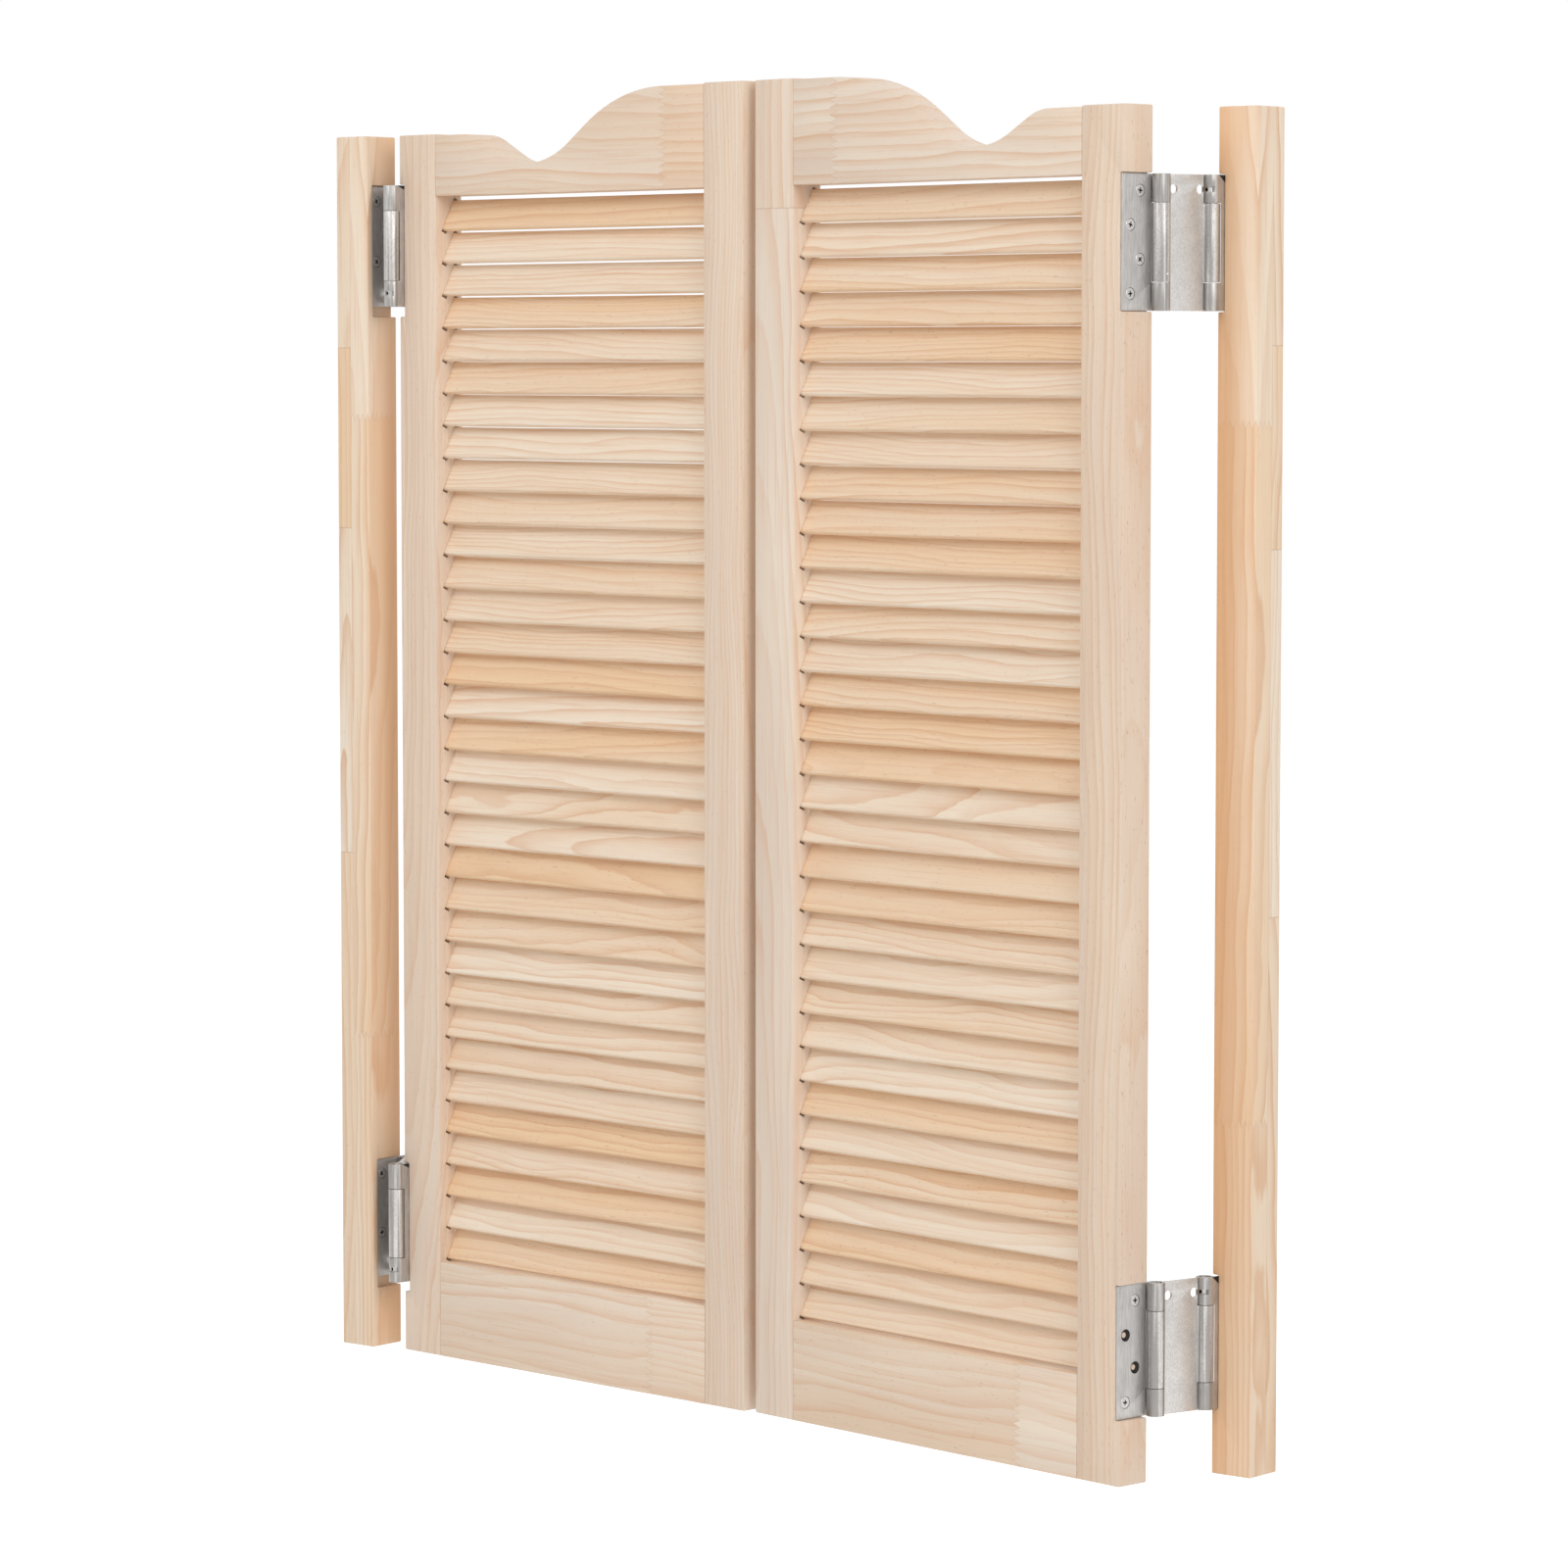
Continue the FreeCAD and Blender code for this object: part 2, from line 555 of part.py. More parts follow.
def makeCentrePlate(name, flipped):
    """Two middle barrels joined by a plate, with its corners cut clear of the leaves' knuckles."""
    body = newBody(name)
    half = cell("sheetThickness") / 2
    sketch = newSketch(body, "XY_Plane")
    rectangle(sketch, (cell(0) - half, 0), (half, barrelSpan))
    pad(body, sketch, "hingeHeight")

    clear = cell("barrelRadius") + "plateEdgeGap"
    corners = newSketch(body, "YZ_Plane")
    for fromZ, toZ in ((cell(0) - 1, barrelFoot), (barrelHead, cell("hingeHeight") + 1)):
        rectangle(corners, (cell(0) - 1, fromZ), (clear, toZ))
        rectangle(corners, (barrelSpan - clear, fromZ), (barrelSpan + 1, toZ))
    pocket(body, corners)

    keys = newSketch(body, "YZ_Plane")
    keyZ = cell("slotPlace") if flipped else cell("hingeHeight") - "slotPlace"
    reach = cell("keyholeReach")
    flat = reach * "keyholeFlat"
    opening = [(cell(-1), reach), (flat, reach), (reach, flat)]
    opening += [(deep, cell(0) - high) for deep, high in reversed(opening)]
    outline(keys, [(clear + deep, keyZ + high) for deep, high in opening])
    outline(keys, [(barrelSpan - clear - deep, keyZ + high) for deep, high in opening])
    pocket(body, keys)

    barrels = newSketch(body, "XY_Plane", barrelFoot)
    circle(barrels, 0, 0, "barrelRadius")
    circle(barrels, 0, barrelSpan, "barrelRadius")
    pad(body, barrels, barrelHead - barrelFoot)
    boreDepth = cell("journalLength") + "journalEnd"
    bores = newSketch(body, "XY_Plane", endwards(flipped, barrelFoot, boreDepth))
    circle(bores, 0, 0, leafOffset)
    circle(bores, 0, barrelSpan, leafOffset)
    pocket(body, bores, boreDepth, True)
    return body


def makeWinders(name, flipped):
    """The drums that wind the springs, one in each hinge's slotted knuckle and on into its barrel."""
    body = newBody(name)
    length = barrelFoot + "journalLength" - "winderRecess"
    sketch = newSketch(body, "XY_Plane", endwards(flipped, "winderRecess", length))
    circle(sketch, 0, 0, leafOffset - "boreFit")
    feature = pad(body, sketch, length)
    repeatUp(body, feature, sketch, "N_Axis", hingeSpan, 2)
    return body


# Places at rest

foot = -size["postHeight"] / 2
axisOut = size["doorGap"] / 2


def turned(angle, x, y):
    return FreeCAD.Rotation(FreeCAD.Vector(0, 0, 1), angle).multVec(FreeCAD.Vector(x, y, 0))


def placed(body, angle, pivot, local=(0, 0), up=0.0):
    """Turns a piece and puts its own point, local, on the pivot."""
    base = pivot - turned(angle, *local)
    base.z = foot + up
    body.Placement = FreeCAD.Placement(base, FreeCAD.Rotation(FreeCAD.Vector(0, 0, 1), angle))


leftPostAxis = FreeCAD.Vector(
    size["postWidth"] + axisOut, size["postDepth"] / 2 + size["barrelStandoff"], 0)
rightPostAxis = FreeCAD.Vector(
    size["openingWidth"] - size["postWidth"] - axisOut, -size["postDepth"] / 2 - size["barrelStandoff"], 0)
leftPlateAngle = 180 + size["leftPlateSwing"]
rightPlateAngle = size["rightPlateSwing"]
leftDoorAxis = leftPostAxis + turned(leftPlateAngle, 0, barrelSpan.number)
rightDoorAxis = rightPostAxis + turned(rightPlateAngle, 0, barrelSpan.number)
leftDoorAngle = size["leftPlateSwing"] + size["leftDoorSwing"]
rightDoorAngle = size["rightPlateSwing"] + size["rightDoorSwing"]
leftDoorPivot = (-axisOut, -size["barrelStandoff"])
rightDoorPivot = (doorWidth.number + axisOut, size["doorThickness"] + size["barrelStandoff"])

slatGroups = [("lower", 0), ("middle", 1), ("upper", 2)]
slatsInGroup = cell("slatCount") / 3

for side in ("left", "right"):
    left = side == "left"
    flipped = left
    doorAxis = leftDoorAxis if left else rightDoorAxis
    postAxis = leftPostAxis if left else rightPostAxis
    doorAngle = leftDoorAngle if left else rightDoorAngle
    doorPivot = leftDoorPivot if left else rightDoorPivot
    plateAngle = leftPlateAngle if left else rightPlateAngle
    doorLeafAngle = doorAngle if left else doorAngle + 180
    postLeafAngle = 180 if left else 0

    post = makePost(f"{side}_post", left)
    postX = 0 if left else size["openingWidth"] - size["postWidth"]
    placed(post, 0, FreeCAD.Vector(postX, -size["postDepth"] / 2, 0))

    wood = [
        makeStile(f"{side}_outer_stile", left, True),
        makeStile(f"{side}_inner_stile", left, False),
        makeTopRail(f"{side}_top_rail", left),
        makeBottomRail(f"{side}_bottom_rail"),
    ]
    for word, group in slatGroups:
        wood.append(makeSlats(f"{side}_{word}_slats", slatsInGroup * group, slatsInGroup))
    for piece in wood:
        placed(piece, doorAngle, doorAxis, doorPivot)

    first = firstFoot[side].number
    for word, up in (("lower", first), ("upper", first + hingeSpan.number)):
        placed(makeLeaf(f"{side}_{word}_door_leaf", flipped), doorLeafAngle, doorAxis, up=up)
        placed(makeLeaf(f"{side}_{word}_post_leaf", flipped), postLeafAngle, postAxis, up=up)
        placed(makeCentrePlate(f"{side}_{word}_centre_plate", flipped), plateAngle, postAxis, up=up)

    placed(makeWinders(f"{side}_door_winders", flipped), doorLeafAngle, doorAxis, up=first)
    placed(makeWinders(f"{side}_post_winders", flipped), postLeafAngle, postAxis, up=first)

doc.recompute()

faults = [o.Name for o in doc.Objects if "Invalid" in o.State or "Error" in o.State]
faults += [p.Label for p in parts if p.Shape.isNull() or not p.Shape.isValid()]
if faults:
    raise RuntimeError("failed: " + ", ".join(faults))

os.makedirs("parts", exist_ok=True)
for part in parts:
    part.Shape.exportStep(f"parts/{part.Label}.step")
    print(part.Label, len(part.Shape.Solids), "solids", round(part.Shape.Volume / 1000, 1), "cm3")
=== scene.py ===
import math

import bmesh
import bpy
from mathutils import Matrix, Vector


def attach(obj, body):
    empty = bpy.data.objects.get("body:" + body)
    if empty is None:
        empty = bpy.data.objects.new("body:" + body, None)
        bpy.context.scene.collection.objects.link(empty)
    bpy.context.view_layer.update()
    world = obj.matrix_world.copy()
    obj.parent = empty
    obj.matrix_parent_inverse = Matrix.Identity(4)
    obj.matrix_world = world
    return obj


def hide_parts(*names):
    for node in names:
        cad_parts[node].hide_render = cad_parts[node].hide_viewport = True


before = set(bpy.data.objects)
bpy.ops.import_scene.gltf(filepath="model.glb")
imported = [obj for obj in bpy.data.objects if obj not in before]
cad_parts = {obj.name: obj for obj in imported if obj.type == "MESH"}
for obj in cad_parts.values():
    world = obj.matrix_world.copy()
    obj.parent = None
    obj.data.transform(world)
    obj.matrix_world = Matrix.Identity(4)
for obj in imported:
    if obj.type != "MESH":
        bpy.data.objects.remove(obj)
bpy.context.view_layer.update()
print("frame loaded")

sides = ("left", "right")
foot = -0.5175  # bottoms of the doors and posts

# how each door and hinge stands: turns about Z in degrees, axes and pivots in metres
hang = {
    "left": {
        "doorTurn": -5.4, "doorAxis": (0.062248, -0.015544), "doorPivot": (-0.0015, -0.0075),
        "postAxis": (0.0375, 0.025), "doorLeafTurn": -5.4, "postLeafTurn": 180.0, "plateTurn": 211.4,
        "winderAtFoot": True, "postX": 0.0, "feet": {"lower": 0.0595, "upper": 0.8914}, "spare": 0.008,
    },
    "right": {
        "doorTurn": -8.8, "doorAxis": (0.895248, -0.070614), "doorPivot": (0.4115, 0.0375),
        "postAxis": (0.9085, -0.025), "doorLeafTurn": 171.2, "postLeafTurn": 0.0, "plateTurn": 163.8,
        "winderAtFoot": False, "postX": 0.91, "feet": {"lower": 0.0505, "upper": 0.8824}, "spare": 0.0,
    },
}


def placeAt(turn, axis, pivot=(0, 0), up=0.0):
    spin = Matrix.Rotation(math.radians(turn), 4, "Z")
    return Matrix.Translation((axis[0], axis[1], foot + up)) @ spin @ Matrix.Translation((-pivot[0], -pivot[1], 0))


def doorPlace(side):
    at = hang[side]
    return placeAt(at["doorTurn"], at["doorAxis"], at["doorPivot"])


# shader maths: a socket that can be added, multiplied and so on
class Wire:
    def __init__(self, tree, socket):
        self.tree = tree
        self.socket = socket

    def maths(self, operation, *values):
        return makeNode(self.tree, "ShaderNodeMath", {"operation": operation}, values=values)

    def __add__(self, other):
        return self.maths("ADD", self, other)

    def __radd__(self, other):
        return self.maths("ADD", other, self)

    def __sub__(self, other):
        return self.maths("SUBTRACT", self, other)

    def __rsub__(self, other):
        return self.maths("SUBTRACT", other, self)

    def __mul__(self, other):
        return self.maths("MULTIPLY", self, other)

    def __rmul__(self, other):
        return self.maths("MULTIPLY", other, self)

    def __truediv__(self, other):
        return self.maths("DIVIDE", self, other)

    def __rtruediv__(self, other):
        return self.maths("DIVIDE", other, self)

    def __pow__(self, other):
        return self.maths("POWER", self, other)

    def fract(self):
        return self.maths("FRACT", self)

    def floor(self):
        return self.maths("FLOOR", self)

    def absolute(self):
        return self.maths("ABSOLUTE", self)

    def root(self):
        return self.maths("SQRT", self)

    def radians(self):
        return self.maths("RADIANS", self)

    def above(self, other):
        return self.maths("GREATER_THAN", self, other)

    def most(self, other):
        return self.maths("MAXIMUM", self, other)

    def least(self, other):
        return self.maths("MINIMUM", self, other)

    def ramp(self, low, high, toLow=0.0, toHigh=1.0):
        return makeNode(self.tree, "ShaderNodeMapRange", {"interpolation_type": "SMOOTHSTEP"}, Value=self,
                        **{"From Min": low, "From Max": high, "To Min": toLow, "To Max": toHigh})

    def outputs(self):
        return self.socket.node.outputs


def makeNode(tree, kind, settings=None, output=0, values=(), **sockets):
    # settings come first; a value or a link goes to its socket by number or by name
    made = tree.nodes.new(kind)
    for name, value in (settings or {}).items():
        setattr(made, name, value)
    numbered = values.items() if isinstance(values, dict) else enumerate(values)
    for key, value in [*numbered, *sockets.items()]:
        if isinstance(value, Wire):
            tree.links.new(value.socket, made.inputs[key])
        else:
            made.inputs[key].default_value = value
    return Wire(tree, made.outputs[output])


hair = 0.0001  # a hair's breadth in metres, for tests and overlaps


def newMaterial(name, **fixed):
    material = bpy.data.materials.new(name)
    material.use_nodes = True
    shader = material.node_tree.nodes["Principled BSDF"]
    for key, value in fixed.items():
        shader.inputs[key].default_value = value
    return material, material.node_tree, shader


def feed(shader, wires):
    for name, wire in wires.items():
        wire.tree.links.new(wire.socket, shader.inputs[name])


def mixColour(tree, factor, a, b):
    return makeNode(tree, "ShaderNodeMix", {"data_type": "RGBA", "clamp_factor": True}, 2, {0: factor, 6: a, 7: b})


pine = {
    "pale": (0.92, 0.80, 0.655, 1), "early": (0.88, 0.715, 0.545, 1), "warm": (0.88, 0.61, 0.37, 1),
    # the orange last colour of the next row is painted warm shade for the posts beside the doors
    "late": (0.71, 0.39, 0.20, 1), "rose": (0.72, 0.60, 0.525, 1), "doorSideShade": (0.86, 0.49, 0.24, 1),
    "fleck": (0.36, 0.17, 0.09, 1), "glue": (0.45, 0.24, 0.13, 1),
    # how often each pattern changes along and across the board, per metre
    "drift": (2.6, 9.0), "waves": (10.0, 42.0), "ripples": (46.0, 190.0), "clouds": (4.0, 24.0),
    "streaks": (9.0, 420.0), "fibres": (26.0, 1500.0), "dashes": (150.0, 1250.0), "patches": (7.0, 60.0),
    "driftReach": 0.05, "waveReach": 0.007, "rippleReach": 0.0011,  # how far each shifts the rings, metres
    "heartSide": 1.7, "heartBack": 0.35, "slope": 0.16,  # where the log's heart lies, in depths, and its lean
    "gapSpread": 0.8, "gapLeast": 0.6, "unevenness": 1.7, "gapChange": 0.47,  # how the years' widths vary
    "sharpness": 2.4, "lateEnd": 0.92, "lateSpread": 0.75, "lateLeast": 0.35,  # each year's dark late wood
    "patchSpread": 0.8, "patchLeast": 0.5, "fleckEnds": (0.69, 0.76), "fleckSpread": 0.8, "fleckLeast": 0.2,
    "hueChange": 0.28, "hueByYear": 1.9, "hueByCloud": 0.9, "slatTones": 1.3, "boardTones": 0.8,
    "paleEnds": (-0.7, 0.25), "warmEnds": (0.0, 1.0), "streakEnds": (0.02, 0.25), "fibreEnds": (0.0, 0.22),
    "warmShare": 0.85, "streakShare": 0.30, "fibreShare": 0.20, "fleckShare": 0.5, "glueShare": 0.4,
    # where the posts' painted warm shade starts and how strong it is
    "doorSideShadeEnds": (0.45, 1.15), "doorSideShadeShare": 0.8, "doorSideShadeWander": 0.3,
    "toothWidth": 0.0058, "glueWidth": 0.0006, "seamWidth": 0.0005, "seamShare": 0.5,
    "stripStep": 5.3, "jointStep": 3.7, "luckStep": 7.7, "slatStep": 37.0,  # set the boards' draws apart
    "roughness": 0.6, "roughByFibre": 0.22, "roughByLate": 0.10, "bump": 0.25, "bumpDepth": 0.0006,
    "relief": {"fibres": 0.45, "late": 0.5, "glued": 0.8, "flecks": 0.6},
}


def pineMaterial(name, place, grain, seed, gap, depth, tone, rings, joints=(), strip=None, ownSeed=None,
                 doorSideShade=None, veil=0.0):
    # place is the board's turn, axis and pivot, as its mesh was placed; grain is the axis its fibres follow
    # gap is a year's width, depth how far the log's heart lies behind the face, rings how strong the late wood
    # is, veil how grey it is; joints are (height, finger, tone past it, whether it is in the strip)
    material, tree, shader = newMaterial(name)

    def noise(x, y, z, detail=2.0, roughness=0.5):
        spot = makeNode(tree, "ShaderNodeCombineXYZ", values=(x, y, z))
        return makeNode(tree, "ShaderNodeTexNoise", Vector=spot, Scale=1.0, Detail=detail, Roughness=roughness)

    def flow(pattern, offset=1.0, detail=2.0, roughness=0.5):
        lengthwise, crosswise = pine[pattern]
        return noise(along * lengthwise + section * offset, across * crosswise, y * crosswise, detail, roughness)

    def chance(value):
        return makeNode(tree, "ShaderNodeTexWhiteNoise", {"noise_dimensions": "1D"}, W=value)

    turn, axis, pivot = place
    turn = math.radians(-turn)
    shift = Vector((*pivot, 0)) - Matrix.Rotation(turn, 3, "Z") @ Vector((*axis, 0))
    local = makeNode(tree, "ShaderNodeMapping", Vector=makeNode(tree, "ShaderNodeTexCoord", output=3),
                     Rotation=(0, 0, turn), Location=shift)
    x, y, z = (Wire(tree, one) for one in makeNode(tree, "ShaderNodeSeparateXYZ", values=(local,)).outputs())
    along, across = (z, x) if grain == "Z" else (x, z)

    # each glued section has its own luck
    section, glued, inStrip = seed, 0.0, 0.0
    if strip:
        letter, edge, sign = strip
        reach = ({"x": x, "y": y}[letter] - edge) * sign
        inStrip = reach.above(0.0)
        section = inStrip * pine["stripStep"] + section
        glued = reach.absolute().ramp(hair, pine["seamWidth"], pine["seamShare"], 0)
    for height, finger, change, onStrip in joints:
        zigzag = ((across + y) / pine["toothWidth"]).fract() - 0.5
        past = along - height - (zigzag.absolute() * 4.0 - 1.0) * finger
        here = inStrip if onStrip else 1.0 - inStrip
        beyond = past.above(0.0) * here
        section = beyond * pine["jointStep"] + section
        tone = beyond * change + tone
        glued = (past.absolute().ramp(hair, pine["glueWidth"], 1, 0) * here).most(glued)
    if ownSeed:
        own = makeNode(tree, "ShaderNodeAttribute", {"attribute_name": ownSeed}, output=2)
        section = own * pine["slatStep"] + section
    luck = [chance(section + pine["luckStep"] * i) for i in range(5)]

    # the rings stand round a heart that wanders along the board
    drift, clouds, fibres = flow("drift", 9.0), flow("clouds", 2.0), flow("fibres", 3.0, 4.0, 0.65)
    aside = across + (luck[0] - 0.5) * (depth * pine["heartSide"]) + (drift - 0.5) * pine["driftReach"]
    behind = y + (luck[1] + pine["heartBack"]) * depth + along * ((luck[2] - 0.5) * pine["slope"])
    radius = (aside * aside + behind * behind).root() + (flow("waves", 5.0) - 0.5) * pine["waveReach"]
    radius = radius + (flow("ripples", 3.0) - 0.5) * pine["rippleReach"]
    years = radius / ((luck[3] * pine["gapSpread"] + pine["gapLeast"]) * gap)
    years = years + (noise(years * pine["gapChange"], section, 0.3, 1.0) - 0.5) * pine["unevenness"]
    season = years.fract()
    thisYear = chance(years.floor() + section) * pine["lateSpread"] + pine["lateLeast"]
    late = season ** pine["sharpness"] * season.ramp(pine["lateEnd"], 1.0, 1, 0) * thisYear
    lengthwise, crosswise = pine["patches"]
    patches = noise(along * lengthwise, across * crosswise, section)
    late = late * (patches * pine["patchSpread"] + pine["patchLeast"])
    flecks = flow("dashes", detail=1.0).ramp(*pine["fleckEnds"]) * (luck[4] * pine["fleckSpread"] + pine["fleckLeast"])
    tones = pine["slatTones" if ownSeed else "boardTones"]
    hue = (noise(years * pine["hueChange"], section * 3.0, 0.7) - 0.5) * pine["hueByYear"]
    hue = hue + (clouds - 0.5) * pine["hueByCloud"] + (luck[4] - 0.5) * tones + tone

    colour = mixColour(tree, hue.ramp(*pine["paleEnds"]), pine["pale"], pine["early"])
    colour = mixColour(tree, hue.ramp(*pine["warmEnds"], 0.0, pine["warmShare"]), colour, pine["warm"])
    if veil:
        colour = mixColour(tree, clouds * veil * 2.0, colour, pine["rose"])
    colour = mixColour(tree, late * rings, colour, pine["late"])
    streaks = (flow("streaks", detail=3.0) - 0.5).ramp(*pine["streakEnds"], 0.0, pine["streakShare"])
    colour = mixColour(tree, streaks, colour, pine["late"])
    threads = (fibres - 0.5).ramp(*pine["fibreEnds"], 0.0, pine["fibreShare"])
    colour = mixColour(tree, threads, colour, pine["late"])
    colour = mixColour(tree, flecks * pine["fleckShare"], colour, pine["fleck"])
    colour = mixColour(tree, glued * pine["glueShare"], colour, pine["glue"])
    if doorSideShade:
        # painted warm shade, darker towards the post's corner beside the door
        byX, byY, offset = doorSideShade
        near = x * byX + y * byY + offset + (drift - 0.5) * pine["doorSideShadeWander"]
        colour = mixColour(tree, near.ramp(*pine["doorSideShadeEnds"], 0.0, pine["doorSideShadeShare"]), colour, pine["doorSideShade"])
    high = pine["relief"]
    relief = fibres * high["fibres"] + late * high["late"] - glued * high["glued"] - flecks * high["flecks"]
    bump = makeNode(tree, "ShaderNodeBump", Height=relief, Strength=pine["bump"], Distance=pine["bumpDepth"])
    rough = (fibres - 0.5) * pine["roughByFibre"] - late * pine["roughByLate"] + pine["roughness"]
    feed(shader, {"Base Color": colour, "Roughness": rough, "Normal": bump})
    return material


# the boards' own figures
postJoints = ((0.280, 0.0032, -0.55, False), (-0.2476, 0.0032, 0.4, False), (0.339, 0.0, -0.9, True),
              (0.186, 0.0, 0.9, True), (-0.092, 0.0, -0.5, True))
anyPost = {"grain": "Z", "seed": 2.0, "gap": 0.007, "depth": 0.03, "tone": 0.15, "rings": 0.9, "joints": postJoints}
anyInner = {"grain": "Z", "gap": 0.0075, "depth": 0.022, "tone": 0.0, "rings": 0.55, "veil": 0.4}
anyOuter = {"grain": "Z", "gap": 0.008, "depth": 0.024, "rings": 0.6, "veil": 0.4}
anyTopRail = {"grain": "X", "gap": 0.009, "depth": 0.06, "tone": 0.05, "rings": 0.75, "veil": 0.35}
anyBottomRail = {"grain": "X", "gap": 0.010, "depth": 0.05, "tone": 0.0, "rings": 0.6, "veil": 0.3,
                 "joints": ((0.30, 0.0042, 0.2, False),)}
anySlat = {"grain": "X", "seed": 1.0, "gap": 0.0065, "depth": 0.055, "tone": 0.1, "rings": 0.85, "ownSeed": "slatSeed"}
boards = {
    # each post gets painted warm shade towards its corner beside the door
    "leftPost": {**anyPost, "strip": ("x", 0.0155, -1), "doorSideShade": (16.7, 14.3, 0.25)},
    "rightPost": {**anyPost, "strip": ("y", 0.0025, 1), "doorSideShade": (-13.9, -17.1, 0.8)},
    "leftInner": {**anyInner, "seed": 4.0},
    "rightInner": {**anyInner, "seed": 9.5, "joints": ((0.448, 0.0, 0.25, False),)},
    "leftOuter": {**anyOuter, "seed": 5.0, "tone": -0.05},
    "rightOuter": {**anyOuter, "seed": 12.5, "tone": -0.35},
    "leftTopRail": {**anyTopRail, "seed": 6.0, "joints": ((0.318, 0.0042, 0.2, False),)},
    "rightTopRail": {**anyTopRail, "seed": 14.5, "joints": ((0.092, 0.0042, -0.2, False),)},
    "leftBottomRail": {**anyBottomRail, "seed": 7.3},
    "rightBottomRail": {**anyBottomRail, "seed": 16.5},
    "leftSlat": anySlat,
    "rightSlat": anySlat,
}

steel = {
    # the near-black colour is painted shade for the insides of holes and recesses
    "bright": (0.69, 0.67, 0.65, 1), "dull": (0.33, 0.315, 0.30, 1), "recessShade": (0.035, 0.03, 0.028, 1),
    # the barrels' noise bands are painted reflections, darker streaks along them
    "metallic": 0.72, "clouds": 90.0, "grit": 1900.0, "reflectionBands": (300.0, 300.0, 5.0),
    "wornEnds": (0.34, 0.72), "cloudShare": 0.4, "gritShare": 0.35, "bandEnds": (0.40, 0.58), "bandShare": 0.95,
    "roughByBrush": 0.22, "roughByCloud": 0.12, "roughByDark": 0.3,
    "gritRelief": 0.6, "bump": 0.16, "bumpDepth": 0.0001,
}


def steelMaterial(name, streak, roughness, stain, wear=0.0):
    # the faces inside holes and recesses are marked and painted near black as shade; barrels get darker bands along
    # them, painted reflections
    material, tree, shader = newMaterial(name, Metallic=steel["metallic"])
    where = makeNode(tree, "ShaderNodeTexCoord", output=3)

    def noise(place, scale, detail, roughness=0.5):
        return makeNode(tree, "ShaderNodeTexNoise", Vector=place, Scale=scale, Detail=detail, Roughness=roughness)

    def stretched(scale):
        return makeNode(tree, "ShaderNodeMapping", Vector=where, Scale=scale)

    def marked(kind):
        return makeNode(tree, "ShaderNodeAttribute", {"attribute_name": kind}, output=2)

    brushed, reflectionBands = noise(stretched(streak), 1.0, 4.0, 0.7), noise(stretched(steel["reflectionBands"]), 1.0, 2.0)
    # the marked faces inside holes and recesses are painted as shade
    clouds, grit, recessShade = noise(where, steel["clouds"], 3.0), noise(where, steel["grit"], 2.0), marked("recessShade")
    wearAndReflection = brushed.ramp(*steel["wornEnds"], wear, stain + wear) + (clouds - 0.5) * steel["cloudShare"]
    wearAndReflection = wearAndReflection + (grit - 0.5) * steel["gritShare"]
    # painted reflections: darker bands along the barrels, added to the brushed wear and grit
    wearAndReflection = wearAndReflection + marked("barrel") * reflectionBands.ramp(*steel["bandEnds"], 0.0, steel["bandShare"])
    colour = mixColour(tree, recessShade, mixColour(tree, wearAndReflection, steel["bright"], steel["dull"]), steel["recessShade"])
    rough = (brushed - 0.5) * steel["roughByBrush"] + (clouds - 0.5) * steel["roughByCloud"]
    rough = rough + recessShade * steel["roughByDark"] + roughness
    bump = makeNode(tree, "ShaderNodeBump", Height=brushed + grit * steel["gritRelief"], Strength=steel["bump"],
                    Distance=steel["bumpDepth"])
    feed(shader, {"Base Color": colour, "Roughness": rough, "Normal": bump})
    return material


finishes = {
    "plate": {"streak": (1500.0, 1500.0, 500.0), "roughness": 0.40, "stain": 0.55},
    "hinge": {"streak": (2100.0, 2100.0, 75.0), "roughness": 0.40, "stain": 0.55, "wear": 0.3},
    "winder": {"streak": (400.0, 400.0, 400.0), "roughness": 0.36, "stain": 0.8},
    "screw": {"streak": (900.0, 900.0, 900.0), "roughness": 0.30, "stain": 0.7},
}

materials = {}
for name, board in boards.items():
    at = hang["left" if name.startswith("left") else "right"]
    place = (at["doorTurn"], at["doorAxis"], at["doorPivot"])
    if name.endswith("Post"):
        place = (0.0, (at["postX"], 0.0), (0.0, 0.0))
    materials[name] = pineMaterial(name + "Pine", place, **board)
for name, finish in finishes.items():
    materials[name] = steelMaterial(name + "Steel", **finish)
print("materials made")


def meshFrom(name, points, faces):
    mesh = bpy.data.meshes.new(name)
    mesh.from_pydata(points, [], faces)
    mesh.update()
    return mesh


def newObject(name, data):
    made = bpy.data.objects.new(name, data)
    bpy.context.scene.collection.objects.link(made)
    return made


def extrude(name, outline, low, high, axis):
    # outline is a closed loop of 2-D points; axis is the letter of the direction it is pulled along
    order = {"X": lambda p, t: (t, p[0], p[1]), "Y": lambda p, t: (p[0], t, p[1]),
             "Z": lambda p, t: (p[0], p[1], t)}
    place = order[axis]
    count = len(outline)
    points = [place(p, low) for p in outline] + [place(p, high) for p in outline]
    faces = [list(range(count)), list(range(2 * count - 1, count - 1, -1))]
    faces += [[(i + 1) % count, i, i + count, (i + 1) % count + count] for i in range(count)]
    made = newObject(name, meshFrom(name, points, faces))
    faceOut(made.data)
    return made


def faceOut(mesh):
    work = bmesh.new()
    work.from_mesh(mesh)
    bmesh.ops.remove_doubles(work, verts=work.verts, dist=1e-7)
    bmesh.ops.recalc_face_normals(work, faces=work.faces)
    work.to_mesh(mesh)
    work.free()


def boxBetween(name, low, high):
    outline = [(low[0], low[1]), (high[0], low[1]), (high[0], high[1]), (low[0], high[1])]
    return extrude(name, outline, low[2], high[2], "Z")


